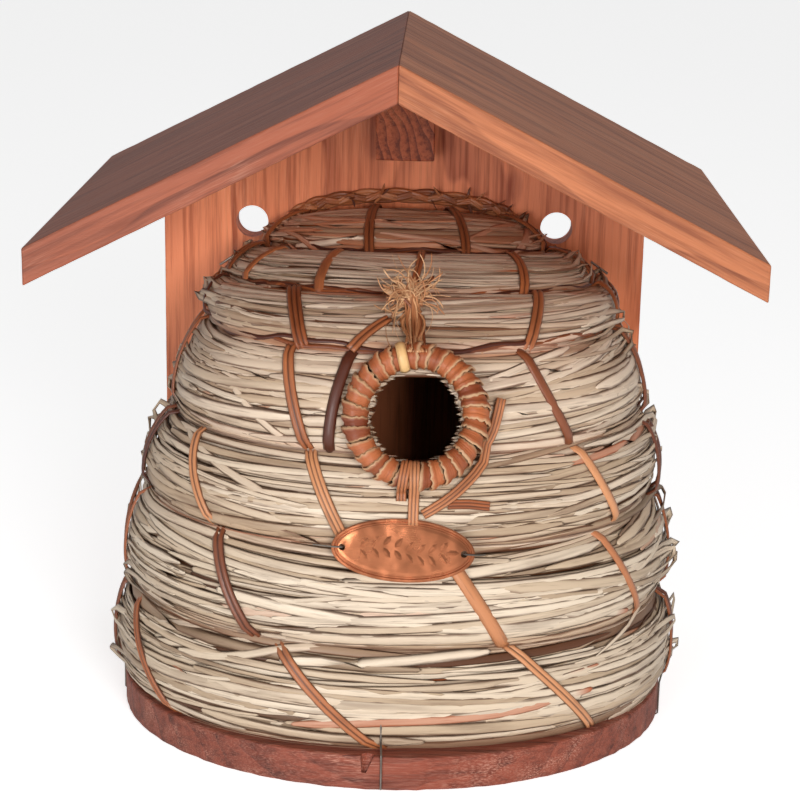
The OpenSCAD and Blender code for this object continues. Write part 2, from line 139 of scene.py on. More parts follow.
class CaneLook(bpy.types.PropertyGroup):
    """Split cane: stitches, bindings and the wrapped ring."""

    width: length_property("Stitch width", "Width of a stitch of split cane", 0.0046)
    thickness: length_property("Cane thickness", "Thickness of split cane", 0.0011)
    lift: length_property("Stitch lift", "Height of a stitch over the straw's skin", 0.0012)
    light: colour_property("Light cane", "Colour of the lightest cane", srgb(214, 150, 104))
    middle: colour_property("Middle cane", "Colour of most cane", srgb(164, 92, 52))
    dark: colour_property("Dark cane", "Colour of the darkest cane", srgb(74, 34, 22))
    ring_light: colour_property("Light wrap", "Lightest colour of the ring's wrap", srgb(180, 102, 60))
    ring_dark: colour_property("Dark wrap", "Darkest colour of the ring's wrap", srgb(114, 50, 26))
    ring_edge: colour_property("Wrap edges", "Colour of the wrap's frayed edges", srgb(196, 158, 120))
    wraps: bpy.props.IntProperty(name="Wraps", description="Turns of cane round the ring", default=31, min=8)


class BoardLook(bpy.types.PropertyGroup):
    """The planed boards."""

    bevel: length_property("Arris", "Width of the worn arrises", 0.0006)
    hang_radius: length_property("Hanging hole", "Radius of each hanging hole", 0.007)
    hang_spacing: length_property("Hanging spacing", "Distance between the hanging holes", 0.133)
    hang_height: length_property("Hanging height", "Height of the hanging holes", 0.186)
    pitch: bpy.props.FloatProperty(
        name="Roof pitch", description="Slope of the roof", default=math.radians(27), subtype="ANGLE")


class PlaqueLook(bpy.types.PropertyGroup):
    """The oval plaque."""

    length: length_property("Length", "Length of the oval", 0.054)
    height: length_property("Height", "Height of the oval", 0.024)
    thickness: length_property("Thickness", "Thickness of the oval", 0.001)
    hole_spacing: length_property("Hole spacing", "Distance between its holes", 0.046)
    hole_radius: length_property("Hole radius", "Radius of each hole", 0.0013)
    tilt: bpy.props.FloatProperty(
        name="Tilt", description="Backward tilt of the plaque", default=math.radians(13), subtype="ANGLE")
    turn: bpy.props.FloatProperty(
        name="Turn", description="Turn of the plaque in its plane", default=math.radians(-2), subtype="ANGLE")
    copper: colour_property("Copper", "Colour of the metal", srgb(214, 134, 94))


class StageLook(bpy.types.PropertyGroup):
    """The camera and its studio."""

    camera_place: bpy.props.FloatVectorProperty(
        name="Camera", description="Place of the camera", default=(0.01358, -0.79847, 0.35884), size=3,
        subtype="TRANSLATION")
    yaw: bpy.props.FloatProperty(
        name="Yaw", description="Turn of the camera to the right", default=math.radians(-0.895),
        subtype="ANGLE")
    pitch: bpy.props.FloatProperty(
        name="Pitch", description="Downward pitch of the camera", default=math.radians(15.901),
        subtype="ANGLE")
    roll: bpy.props.FloatProperty(
        name="Roll", description="Roll of the camera", default=math.radians(1.1695), subtype="ANGLE")
    lens: bpy.props.FloatProperty(
        name="Lens", description="Focal length on a 36 mm sensor, in millimetres", default=92.6)


LOOKS = {
    "nest_skep": SkepSizes,
    "nest_straw": StrawLook,
    "nest_cane": CaneLook,
    "nest_boards": BoardLook,
    "nest_plaque": PlaqueLook,
    "nest_stage": StageLook,
}


# ---------------------------------------------------------------- the straw's surface

def mixed(a, b, t):
    return a + (b - a) * t


def unit_rows(v):
    """Each row of an array, scaled to length one."""
    return v / np.maximum(np.linalg.norm(v, axis=-1, keepdims=True), 1e-12)


def smooth_step(x):
    x = np.clip(x, 0, 1)
    return x * x * (3 - 2 * x)


class StrawSurface:
    """The outside of the straw, by row k, station s in degrees (0 at the front) and height t in the row."""

    def __init__(self, skep):
        base_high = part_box("base_board")[1]
        self.grids = {}
        self.skep = skep
        self.face_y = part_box("straw_row_1")[1].y
        self.half = base_high.x
        self.levels = np.concatenate([[0], np.cumsum(list(skep.rise))]) + base_high.z
        ring_low, ring_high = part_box("entrance_wrap")
        self.ring_mid = np.array((ring_low + ring_high) / 2)
        ring_width = ring_high.x - ring_low.x
        depth, height = ring_high.y - ring_low.y, ring_high.z - ring_low.z
        # A tilted ring's box: depth = w sin(tilt) + d (1 - sin(tilt)), and the same with cos for its height
        self.ring_tilt = self.solve_tilt(ring_width, depth, height)
        s, c = math.sin(self.ring_tilt), math.cos(self.ring_tilt)
        self.ring_d = (height - ring_width * c) / (1 - c)
        self.ring_major = (ring_width - self.ring_d) / 2
        self.ring_axis = np.array((0, -c, s))
        self.ring_up = np.array((0, s, c))
        plaque_low, plaque_high = (np.array(corner)[::2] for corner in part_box("name_plaque"))
        self.plaque_mid = (plaque_low + plaque_high) / 2
        self.plaque_half = (plaque_high - plaque_low) / 2

    @staticmethod
    def solve_tilt(width, depth, height):
        """The tilt at which the ring's depth and height give the same section."""
        low, high = math.radians(5), math.radians(40)
        for _ in range(60):
            tilt = (low + high) / 2
            by_height = (height - width * math.cos(tilt)) / (1 - math.cos(tilt))
            by_depth = (depth - width * math.sin(tilt)) / (1 - math.sin(tilt))
            if by_height > by_depth:
                high = tilt
            else:
                low = tilt
        return tilt

    def plan(self, half, reach, straight, square, s):
        side = np.sign(s)
        a = np.radians(np.minimum(np.abs(s), CORNER_STATION))
        curve = 2 / square
        front_x = half * side * np.sin(a) ** curve
        front_reach = straight + (reach - straight) * np.maximum(np.cos(a), 0) ** curve
        back = (LAST_STATION - np.abs(s)) / (LAST_STATION - CORNER_STATION)
        behind = np.abs(s) > CORNER_STATION
        return np.where(behind, half * side, front_x), np.where(behind, straight * back, front_reach)

    def cap_edge(self, s):
        a = np.radians(s * 90 / LAST_STATION)
        z = self.levels[ROWS] - self.skep.cap_droop * (1 - np.cos(a))
        return np.stack([self.skep.cap_half * np.sin(a), np.full_like(a, self.face_y), z], axis=-1)

    def seam(self, k, s):
        """Points of seam k; the last one is the cap's edge on the backboard."""
        if k == ROWS:
            return self.cap_edge(s)
        sizes = self.skep
        inset = np.where(s < 0, sizes.inset_left[k], sizes.inset_right[k])
        reach = sizes.reach - sizes.setback[k]
        x, out = self.plan(self.half - inset, reach, sizes.straight[k], sizes.square[k], s)
        z = self.levels[k] - sizes.droop[k] * (1 - out / reach)
        return np.stack([x, self.face_y - out, z], axis=-1)

    def row_normal(self, k, s):
        a, b = np.maximum(s - 2, -LAST_STATION), np.minimum(s + 2, LAST_STATION)
        along = self.seam(k, b) + self.seam(k + 1, b) - self.seam(k, a) - self.seam(k + 1, a)
        n = unit_rows(np.cross(along, self.seam(k + 1, s) - self.seam(k, s)))
        at_board = np.abs(s) >= LAST_STATION
        n[at_board, 1] = 0
        return unit_rows(n)

    def skin(self, k, s, t):
        s = np.clip(np.asarray(s, float), -LAST_STATION, LAST_STATION)
        t = np.asarray(t, float)
        inside = np.clip(t, 0, 1)
        bulge = self.skep.proud[k] * (4 * inside * (1 - inside)) ** 0.75
        p = mixed(self.seam(k, s), self.seam(k + 1, s), t[:, None]) + self.row_normal(k, s) * bulge[:, None]
        p[:, 1] = np.minimum(p[:, 1], self.face_y)
        return p

    def normal(self, k, s, t):
        s, t = np.asarray(s, float), np.asarray(t, float)
        before, after = np.maximum(s - 1, -LAST_STATION), np.minimum(s + 1, LAST_STATION)
        along = self.skin(k, after, t) - self.skin(k, before, t)
        up = self.skin(k, s, np.minimum(t + 0.06, 1)) - self.skin(k, s, np.maximum(t - 0.06, 0))
        return unit_rows(np.cross(along, up))

    def grid(self, k):
        """Row k's points and normals at whole stations and even heights, worked out once."""
        if k not in self.grids:
            s, t = np.meshgrid(GRID_STATIONS, GRID_HEIGHTS, indexing="ij")
            shape = (*s.shape, 3)
            points = self.skin(k, s.ravel(), t.ravel())
            normals = self.normal(k, s.ravel(), t.ravel())
            self.grids[k] = points.reshape(shape), normals.reshape(shape)
        return self.grids[k]

    def lifted(self, k, s, t, lift):
        """Points of the skin and their normals, each point lifted along its normal."""
        s, t = np.broadcast_arrays(np.asarray(s, float), np.asarray(t, float))
        u = np.clip(s + LAST_STATION, 0, len(GRID_STATIONS) - 1.001)
        spacing = GRID_HEIGHTS[1] - GRID_HEIGHTS[0]
        v = np.clip((t - GRID_HEIGHTS[0]) / spacing, 0, len(GRID_HEIGHTS) - 1.001)
        i, j = u.astype(int), v.astype(int)
        fu, fv = (u - i)[:, None], (v - j)[:, None]
        p, n = (mixed(mixed(g[i, j], g[i + 1, j], fu), mixed(g[i, j + 1], g[i + 1, j + 1], fu), fv)
                for g in self.grid(k))
        n = unit_rows(n)
        p = p + n * np.broadcast_to(lift, s.shape)[:, None]
        p[:, 1] = np.minimum(p[:, 1], self.face_y - 0.3 * MM)
        return p, n

    def laid(self, points, lift):
        """Points brought square to the skin, from wherever they are near it, and their normals."""
        places = np.concatenate([self.grid(k)[0].reshape(-1, 3) for k in range(ROWS)])
        normals = np.concatenate([self.grid(k)[1].reshape(-1, 3) for k in range(ROWS)])
        nearest = [int(np.argmin(((places - p) ** 2).sum(1))) for p in points]
        n = unit_rows(normals[nearest])
        off = ((points - places[nearest]) * n).sum(1)
        return points + n * (lift - off)[:, None], n

    def ring_point(self, angle, turn, out):
        """A point on the ring: angle round the entrance, turn round its section, out from its surface."""
        r = self.ring_major + (self.ring_d / 2 + out) * np.cos(turn)
        h = (self.ring_d / 2 + out) * np.sin(turn)
        across = np.stack([r * np.cos(angle)] * 3, axis=-1) * np.array((1, 0, 0))
        return (self.ring_mid + across + (r * np.sin(angle))[:, None] * self.ring_up
                + h[:, None] * self.ring_axis)

    def off_axis(self, p):
        """Distance of points from the entrance's axis, and how far out along it they are."""
        v = p - self.ring_mid
        h = v @ self.ring_axis
        return np.linalg.norm(v - h[:, None] * self.ring_axis, axis=1), h

    def behind_plaque(self, p):
        """For each point, 1 behind the plaque and 0 well clear of it."""
        off = (p[:, ::2] - self.plaque_mid) / self.plaque_half
        return smooth_step((1.75 - (off ** 2).sum(axis=1)) / 0.45)

    def seated(self, p):
        """Points pressed down behind the ring's seat where they would run through the ring."""
        r, h = self.off_axis(p)
        edge = self.ring_major + self.ring_d / 2
        near = smooth_step((edge + 5 * MM - r) / (4 * MM))
        over = np.maximum(h + self.ring_d / 2 + 0.3 * MM, 0)
        return p - (over * near)[:, None] * self.ring_axis


# ---------------------------------------------------------------- strands swept along paths

class Strand:
    """A path with its normals, its half width at each point, and the numbers its material reads."""

    def __init__(self, points, normals, widths, tone, roll=0.0, wear_and_shade=0.0):
        count = len(points)
        self.points = np.asarray(points, float)
        self.normals = np.asarray(normals, float)
        self.widths = np.broadcast_to(widths, count)
        self.roll = np.broadcast_to(roll, count)
        self.tone = tone
        self.wear_and_shade = np.broadcast_to(wear_and_shade, count)

    def directions(self):
        steps = unit_rows(np.diff(self.points, axis=0))
        return unit_rows(np.concatenate([steps[:1], unit_rows(steps[1:] + steps[:-1]), steps[-1:]]))

    def tilts(self):
        """The curve tilt that turns the profile's height to the normal, where zero is upright."""
        along = self.directions()
        upright = unit_rows(np.array((0, 0, 1.0)) - along * along[:, 2:3])
        aside = np.cross(along, upright)
        n = self.normals
        return np.arctan2((n * aside).sum(1), (n * upright).sum(1)) + self.roll


def with_ends(points, normals, widths, roll, wear_and_shade, blunt):
    """Closes a strand: each end shrinks to a point, all at once where it is cut blunt."""
    nib = 0.02 * MM if blunt else 1.5 * MM
    first = points[0] + unit_rows(points[:1] - points[1:2])[0] * nib
    last = points[-1] + unit_rows(points[-1:] - points[-2:-1])[0] * nib
    return (np.concatenate([[first], points, [last]]),
            np.concatenate([normals[:1], normals, normals[-1:]]),
            np.concatenate([[0], widths, [0]]),
            np.concatenate([roll[:1], roll, roll[-1:]]),
            np.concatenate([wear_and_shade[:1], wear_and_shade, wear_and_shade[-1:]]))


def strand(points, normals, widths, tone, roll=0.0, wear_and_shade=0.0, blunt=True):
    count = len(points)
    widths, roll, wear_and_shade = (np.array(np.broadcast_to(v, count), float) for v in (widths, roll, wear_and_shade))
    p, n, w, r, e = with_ends(np.asarray(points), np.asarray(normals), widths, roll, wear_and_shade, blunt)
    return Strand(p, n, w, tone, r, e)


def blade_profile(thickness):
    """The section of a flat blade, for a half width of one: a low crown over a flatter back."""
    return [(-1, 0), (-0.55, thickness * 0.8), (0.1, thickness), (0.7, thickness * 0.6), (1, 0),
            (0, -thickness * 0.5)]


def cane_profile(thickness, ribs):
    """The section of split cane, for a half width of one: rounded ribs over a flat back."""
    steps = ribs * 4
    top = []
    for i in range(steps + 1):
        x = -1 + 2 * i / steps
        rib = abs(math.sin(math.pi * ribs * (x + 1) / 2))
        crown = 1 - 0.35 * x * x
        top.append((x, thickness * (0.35 + 0.65 * rib) * crown))
    return top + [(0.9, -thickness * 0.2), (-0.9, -thickness * 0.2)]


def link(obj):
    bpy.context.scene.collection.objects.link(obj)
    return obj


def profile_curve(points):
    curve = bpy.data.curves.new("profile", "CURVE")
    curve.dimensions = "2D"
    spline = curve.splines.new("POLY")
    spline.points.add(len(points) - 1)
    for place, (x, y) in zip(spline.points, points):
        place.co = (x, y, 0, 1)
    spline.use_cyclic_u = True
    return link(bpy.data.objects.new("profile", curve))


def swept_mesh(name, strands, profile, closed=False):
    """One mesh of strands swept by a curve bevel, with a strand attribute: metres along, across, tone."""
    section = profile_curve(profile)
    curve = bpy.data.curves.new(name, "CURVE")
    curve.dimensions = "3D"
    curve.twist_mode = "Z_UP"
    curve.bevel_mode = "OBJECT"
    curve.bevel_object = section
    for one in strands:
        spline = curve.splines.new("POLY")
        count = len(one.points)
        spline.points.add(count - 1)
        spline.points.foreach_set("co", np.c_[one.points, np.ones(count)].ravel())
        spline.points.foreach_set("radius", np.ascontiguousarray(one.widths, dtype=np.float32))
        spline.points.foreach_set("tilt", one.tilts().astype(np.float32))
        spline.use_cyclic_u = closed
    carrier = link(bpy.data.objects.new(name, curve))
    bpy.context.view_layer.update()
    shaped = carrier.evaluated_get(bpy.context.evaluated_depsgraph_get())
    mesh = bpy.data.meshes.new_from_object(shaped)
    for spent in (carrier, section):
        data = spent.data
        bpy.data.objects.remove(spent)
        bpy.data.curves.remove(data)
    label_strands(mesh, strands, [x for x, _ in profile])
    merge_ends(mesh)
    mesh.name = name
    mesh.materials.clear()
    return mesh


def label_strands(mesh, strands, across):
    """Writes, for every vertex, how far along its strand it is, how far across, and the strand's tone."""
    values, wear_and_shade = [], []
    for one in strands:
        steps = np.linalg.norm(np.diff(one.points, axis=0), axis=1)
        along = np.concatenate([[0], np.cumsum(steps)])
        block = np.empty((len(along), len(across), 3), np.float32)
        block[:, :, 0] = along[:, None]
        block[:, :, 1] = np.array(across)[None, :]
        block[:, :, 2] = one.tone
        values.append(block.reshape(-1, 3))
        wear_and_shade.append(np.repeat(np.asarray(one.wear_and_shade, np.float32), len(across)))
    values, wear_and_shade = np.concatenate(values), np.concatenate(wear_and_shade)
    if len(values) != len(mesh.vertices):
        raise RuntimeError(f"{mesh.name}: {len(values)} labels for {len(mesh.vertices)} vertices")
    mesh.attributes.new("strand", "FLOAT_VECTOR", "POINT").data.foreach_set("vector", values.ravel())
    mesh.attributes.new("wear_and_shade", "FLOAT", "POINT").data.foreach_set("value", wear_and_shade)


def merge_ends(mesh):
    bm = bmesh.new()
    bm.from_mesh(mesh)
    bmesh.ops.remove_doubles(bm, verts=bm.verts, dist=1e-7)
    bmesh.ops.dissolve_degenerate(bm, edges=bm.edges, dist=1e-8)
    for face in bm.faces:
        face.smooth = True
    bm.to_mesh(mesh)
    bm.free()


def finish_piece(obj, slot, *nodes):
    """Every piece rides on the body and may stand for nodes of the frame; its slot is not used."""
    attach(obj, BODY)
    if nodes:
        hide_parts(*nodes)
    return obj


def swept_piece(name, strands, profile, material, slot, *nodes, closed=False):
    mesh = swept_mesh(name, strands, profile, closed)
    mesh.materials.append(material)
    return finish_piece(link(bpy.data.objects.new(name, mesh)), slot, *nodes)


# ---------------------------------------------------------------- materials

def new_group(name, inputs, outputs):
    """A shader node group with its sockets, its input node and its output node."""
    group = bpy.data.node_groups.new(name, "ShaderNodeTree")
    for label, kind, value in inputs:
        socket = group.interface.new_socket(label, in_out="INPUT", socket_type=kind)
        if value is not None:
            socket.default_value = value
    for label, kind in outputs:
        group.interface.new_socket(label, in_out="OUTPUT", socket_type=kind)
    return group, group.nodes.new("NodeGroupInput"), group.nodes.new("NodeGroupOutput")


class Nodes:
    """Short ways to add the nodes that the materials share."""

    def __init__(self, tree):
        self.tree = tree

    def link(self, source, target):
        self.tree.links.new(source, target)

    def put(self, socket, value):
        if isinstance(value, bpy.types.NodeSocket):
            self.link(value, socket)
        elif isinstance(value, (tuple, list)) and socket.type == "RGBA" and len(value) == 3:
            socket.default_value = (*value, 1)
        else:
            socket.default_value = value

    def math(self, operation, a, b=0.0, clamp=False):
        node = self.tree.nodes.new("ShaderNodeMath")
        node.operation = operation
        node.use_clamp = clamp
        self.put(node.inputs[0], a)
        self.put(node.inputs[1], b)
        return node.outputs[0]

    def mix(self, factor, a, b, blend="MIX"):
        node = self.tree.nodes.new("ShaderNodeMix")
        node.data_type = "RGBA"
        node.blend_type = blend
        node.clamp_factor = True
        self.put(node.inputs[0], factor)
        self.put(node.inputs[6], a)
        self.put(node.inputs[7], b)
        return node.outputs[2]

    def scaled(self, vector, scale):
        node = self.tree.nodes.new("ShaderNodeVectorMath")
        node.operation = "MULTIPLY"
        self.put(node.inputs[0], vector)
        self.put(node.inputs[1], scale)
        return node.outputs[0]

    def noise(self, vector, scale=1.0, detail=3.0, roughness=0.55, distortion=0.0):
        node = self.tree.nodes.new("ShaderNodeTexNoise")
        self.put(node.inputs["Vector"], vector)
        self.put(node.inputs["Scale"], scale)
        self.put(node.inputs["Detail"], detail)
        self.put(node.inputs["Roughness"], roughness)
        self.put(node.inputs["Distortion"], distortion)
        return node.outputs["Fac"]

    def levels(self, value, low, high):
        """Stretches a value so that low becomes 0 and high becomes 1, with smooth ends."""
        node = self.tree.nodes.new("ShaderNodeMapRange")
        node.interpolation_type = "SMOOTHSTEP"
        self.put(node.inputs["Value"], value)
        self.put(node.inputs["From Min"], low)
        self.put(node.inputs["From Max"], high)
        return node.outputs[0]

    def group(self, group, **values):
        node = self.tree.nodes.new("ShaderNodeGroup")
        node.node_tree = group
        for label, value in values.items():
            self.put(node.inputs[label.replace("_", " ")], value)
        return node


def new_material(name):
    """A material, its node helper and its Principled shader."""
    material = bpy.data.materials.new(name)
    material.use_nodes = True
    shader = material.node_tree.nodes["Principled BSDF"]
    return material, Nodes(material.node_tree), shader


def add_bump(nodes, shader, height, distance, strength=1.0):
    bump = nodes.tree.nodes.new("ShaderNodeBump")
    bump.inputs["Strength"].default_value = strength
    bump.inputs["Distance"].default_value = distance
    nodes.link(height, bump.inputs["Height"])
    nodes.link(bump.outputs[0], shader.inputs["Normal"])


def fibre_group():
    """Colour and height of one plant fibre: its tone, lengthwise streaks and worn ends, and painted shade in
    its rib grooves and, through the worn colour, at the straw's seams.
    """
    name = "plant_fibre"
    if name in bpy.data.node_groups:
        return bpy.data.node_groups[name]
    group, start, end = new_group(name, [
        ("Pale", "NodeSocketColor", (0.8, 0.7, 0.6, 1)),
        ("Middle", "NodeSocketColor", (0.6, 0.5, 0.4, 1)),
        ("Dark", "NodeSocketColor", (0.3, 0.2, 0.1, 1)),
        ("Worn", "NodeSocketColor", (0.2, 0.1, 0.05, 1)),
        ("Edge", "NodeSocketColor", (0.6, 0.5, 0.4, 1)),
        ("Streak", "NodeSocketFloat", 0.3),
        ("Ribs", "NodeSocketFloat", 0.0),
        ("Edge Share", "NodeSocketFloat", 0.0),
    ], [("Color", "NodeSocketColor"), ("Height", "NodeSocketFloat"), ("Roughness", "NodeSocketFloat")])
    n = Nodes(group)
    place = group.nodes.new("ShaderNodeAttribute")
    place.attribute_name = "strand"
    parts = group.nodes.new("ShaderNodeSeparateXYZ")
    n.link(place.outputs["Vector"], parts.inputs[0])
    tone = parts.outputs[2]
    wear_and_shade = group.nodes.new("ShaderNodeAttribute")
    wear_and_shade.attribute_name = "wear_and_shade"
    shifted = group.nodes.new("ShaderNodeCombineXYZ")
    n.link(n.math("MULTIPLY", parts.outputs[0], 60.0), shifted.inputs[0])
    n.link(n.math("MULTIPLY", parts.outputs[1], 2.2), shifted.inputs[1])
    n.link(n.math("MULTIPLY", tone, 137.0), shifted.inputs[2])
    streak = n.noise(shifted.outputs[0], 1.0, 4.0, 0.6)
    broad = n.noise(n.scaled(shifted.outputs[0], (0.35, 0.25, 1.0)), 1.0, 2.0)
    low = n.mix(n.levels(tone, 0.0, 0.45), start.outputs["Dark"], start.outputs["Middle"])
    base = n.mix(n.levels(tone, 0.35, 1.0), low, start.outputs["Pale"])
    toned = n.mix(n.math("MULTIPLY", n.levels(broad, 0.45, 0.75), 0.45), base, start.outputs["Dark"])
    lined = n.mix(n.math("MULTIPLY", n.levels(streak, 0.5, 0.8), start.outputs["Streak"]), toned,
                  start.outputs["Dark"])
    across = parts.outputs[1]
    # The valleys between ribs are darkened toward the worn colour: painted shade in the grooves.
    rib = n.math("ABSOLUTE", n.math("SINE", n.math(
        "MULTIPLY", n.math("MULTIPLY", n.math("ADD", across, 1.0), math.pi / 2), start.outputs["Ribs"])))
    groove = n.math("MULTIPLY", n.levels(rib, 0.75, 0.1), n.math("MINIMUM", start.outputs["Ribs"], 1.0))
    groove_shaded = n.mix(n.math("MULTIPLY", groove, 0.75), lined, start.outputs["Worn"])
    # Each fibre's long edges are mixed toward the edge colour: on straw blades a painted shade between
    # neighbouring blades.
    brink = n.levels(n.math("ADD", n.math("ABSOLUTE", across), n.math("MULTIPLY", streak, 0.7)), 0.85, 1.25)
    edged = n.mix(n.math("MULTIPLY", brink, start.outputs["Edge Share"]), groove_shaded, start.outputs["Edge"])
    n.link(n.mix(wear_and_shade.outputs["Fac"], edged, start.outputs["Worn"]), end.inputs["Color"])
    n.link(streak, end.inputs["Height"])
    n.link(n.math("ADD", n.math("MULTIPLY", broad, 0.3), 0.3), end.inputs["Roughness"])
    return group


def fibre_material(name, pale, middle, dark, worn, streak, bump, coat=0.0, coat_roughness=0.3, ribs=0.0,
                   edge=(0.6, 0.5, 0.4), edge_share=0.0):
    material, n, shader = new_material(name)
    # The worn colour paints worn and brown fibre, and also painted shade at the straw's seams and in rib
    # grooves.
    fibre = n.group(fibre_group(), Pale=tuple(pale), Middle=tuple(middle), Dark=tuple(dark),
                    Worn=tuple(worn), Edge=tuple(edge), Streak=streak, Ribs=ribs, Edge_Share=edge_share)
    n.link(fibre.outputs["Color"], shader.inputs["Base Color"])
    n.link(fibre.outputs["Roughness"], shader.inputs["Roughness"])
    shader.inputs["Coat Weight"].default_value = coat
    shader.inputs["Coat Roughness"].default_value = coat_roughness
    add_bump(n, shader, fibre.outputs["Height"], bump)
    return material


def wood_group():
    """Colour and height of a board whose grain runs along the X of the vector that it is given."""
    name = "board_grain"
    if name in bpy.data.node_groups:
        return bpy.data.node_groups[name]
    group, start, end = new_group(name, [
        ("Vector", "NodeSocketVector", None),
        ("Early", "NodeSocketColor", (0.5, 0.25, 0.15, 1)),
        ("Late", "NodeSocketColor", (0.3, 0.12, 0.07, 1)),
        ("Fuzz", "NodeSocketColor", (0.6, 0.4, 0.3, 1)),
        ("Ring Size", "NodeSocketFloat", 0.008),
        ("Ring Share", "NodeSocketFloat", 0.5),
        ("Fuzz Share", "NodeSocketFloat", 0.2),
    ], [("Color", "NodeSocketColor"), ("Height", "NodeSocketFloat"), ("Roughness", "NodeSocketFloat")])
    n = Nodes(group)
    v = start.outputs["Vector"]
    warp = n.noise(n.scaled(v, (7.0, 26.0, 26.0)), 1.0, 2.0)
    parts = group.nodes.new("ShaderNodeSeparateXYZ")
    n.link(v, parts.inputs[0])
    across = n.math("SQRT", n.math(
        "ADD", n.math("POWER", parts.outputs[1], 2.0), n.math("POWER", parts.outputs[2], 2.0)))
    turned = n.math("ADD", across, n.math("MULTIPLY", n.math("SUBTRACT", warp, 0.5), 0.035))
    phase = n.math("FRACT", n.math("DIVIDE", turned, start.outputs["Ring Size"]))
    late = n.math("POWER", phase, 2.2)
    edge = n.levels(phase, 1.0, 0.93)
    ring = n.math("MULTIPLY", late, edge)
    streak = n.noise(n.scaled(v, (14.0, 420.0, 420.0)), 1.0, 4.0, 0.65)
    fibre = n.noise(n.scaled(v, (90.0, 2600.0, 2600.0)), 1.0, 3.0, 0.6)
    broad = n.noise(n.scaled(v, (5.0, 24.0, 24.0)), 1.0, 3.0, 0.5)
    share = n.math("MULTIPLY", ring, start.outputs["Ring Share"])
    share = n.math("ADD", share, n.math("MULTIPLY", n.levels(streak, 0.42, 0.68), 0.5))
    share = n.math("ADD", share, n.math("MULTIPLY", n.levels(broad, 0.35, 0.75), 0.32), True)
    base = n.mix(share, start.outputs["Early"], start.outputs["Late"])
    patch = n.noise(n.scaled(v, (18.0, 60.0, 60.0)), 1.0, 3.0, 0.6)
    worn = n.math("ADD", n.math("MULTIPLY", n.levels(patch, 0.45, 0.7), 1.3), 0.35)
    fuzz = n.math("MULTIPLY", n.math("MULTIPLY", n.levels(fibre, 0.42, 0.72), worn),
                  start.outputs["Fuzz Share"], True)
    n.link(n.mix(fuzz, base, start.outputs["Fuzz"]), end.inputs["Color"])
    height = n.math("ADD", n.math("MULTIPLY", streak, 0.6), n.math("MULTIPLY", fibre, 0.5))
    n.link(n.math("SUBTRACT", height, n.math("MULTIPLY", ring, 0.3)), end.inputs["Height"])
    n.link(n.math("ADD", n.math("MULTIPLY", streak, 0.25), 0.42), end.inputs["Roughness"])
    return group


def wood_material(name, early, late, fuzz, ring_size, ring_share, fuzz_share, turn, heart, bump=0.00025):
    """turn brings the grain to X; heart is the log's middle, away from the board, in turned metres."""
    material, n, shader = new_material(name)
    coordinates = n.tree.nodes.new("ShaderNodeTexCoord")
    mapping = n.tree.nodes.new("ShaderNodeMapping")
    mapping.inputs["Rotation"].default_value = turn
    mapping.inputs["Location"].default_value = heart
    n.link(coordinates.outputs["Object"], mapping.inputs["Vector"])
    wood = n.group(wood_group(), Vector=mapping.outputs[0], Early=srgb(*early), Late=srgb(*late),
                   Fuzz=srgb(*fuzz), Ring_Size=ring_size, Ring_Share=ring_share, Fuzz_Share=fuzz_share)
    n.link(wood.outputs["Color"], shader.inputs["Base Color"])
    n.link(wood.outputs["Roughness"], shader.inputs["Roughness"])
    add_bump(n, shader, wood.outputs["Height"], bump)
    return material


def metal_material(name, colour, roughness, dent_depth):
    """A worn metal with darker patches about a finger wide, partly tarnish and partly painted dark
    reflection, shallow dents and faint drawing lines.
    """
    material, n, shader = new_material(name)
    coordinates = n.tree.nodes.new("ShaderNodeTexCoord")
    cloud = n.noise(coordinates.outputs["Object"], 60.0, 3.0, 0.5)
    dents = n.noise(coordinates.outputs["Object"], 110.0, 1.0)
    fine = n.noise(n.scaled(coordinates.outputs["Object"], (300.0, 2400.0, 2400.0)), 1.0, 2.0)
    # The darker patches stand partly for tarnish and partly for painted dark reflection.
    tarnish_and_dark_reflection = tuple(c * 0.62 for c in colour)
    n.link(n.mix(n.levels(cloud, 0.42, 0.66), tuple(colour), tarnish_and_dark_reflection), shader.inputs["Base Color"])
    shader.inputs["Metallic"].default_value = 1.0
    n.link(n.math("ADD", n.math("MULTIPLY", cloud, 0.25), roughness), shader.inputs["Roughness"])
    add_bump(n, shader, n.math("ADD", n.math("MULTIPLY", fine, 0.06), dents), dent_depth)
    return material


def shade_bed_material(colour):
    """Packed straw seen between the blades, near black as painted shade, with thin lighter lines round the
    body.
    """
    material, n, shader = new_material("straw_shade_bed")
    coordinates = n.tree.nodes.new("ShaderNodeTexCoord")
    lines = n.noise(n.scaled(coordinates.outputs["Object"], (60.0, 60.0, 1500.0)), 1.0, 4.0, 0.6)
    light = tuple(min(c * 2.6, 1) for c in colour)
    n.link(n.mix(n.levels(lines, 0.45, 0.75), tuple(colour), light), shader.inputs["Base Color"])
    shader.inputs["Roughness"].default_value = 0.85
    add_bump(n, shader, lines, 0.0008)
    return material


def material_named(name, maker, *values, **options):
    """A material that several operators use, made once."""
    return bpy.data.materials.get(name) or maker(*values, **options)


# ---------------------------------------------------------------- straw

# For each row: extra depth of its blades at its seams in millimetres, how brown all its blades are
# (brown straw, and in the upper rows also painted shade under the roof), how much lighter or darker
# its bundles are painted for the light the row gets, how much painted shade darkens them at the
# seams, and how strongly its right side slopes up
SEAM_DEPTH = (0.8, 0.8, 1.0, 1.8, 1.9, 1.9, 2.4)
BROWN_AND_SHADE = (0.0, 0.0, 0.02, 0.05, 0.06, 0.1, 0.4)
ROW_PAINTED_LIGHT = (-0.06, -0.02, 0.0, 0.04, 0.14, 0.18, 0.0)
SEAM_SHADE = (0.1, 0.12, 0.15, 0.3, 0.55, 0.6, 0.8)
RIGHT_RISE = (0.05, 0.22, 0.34, 0.3, 0.12, 0.0, 0.0)
# Where a cut blade ends, in millimetres outwards from the ring's inner edge; below 0 it shows in
# the opening
FRINGE = (-1.5, 1.1)


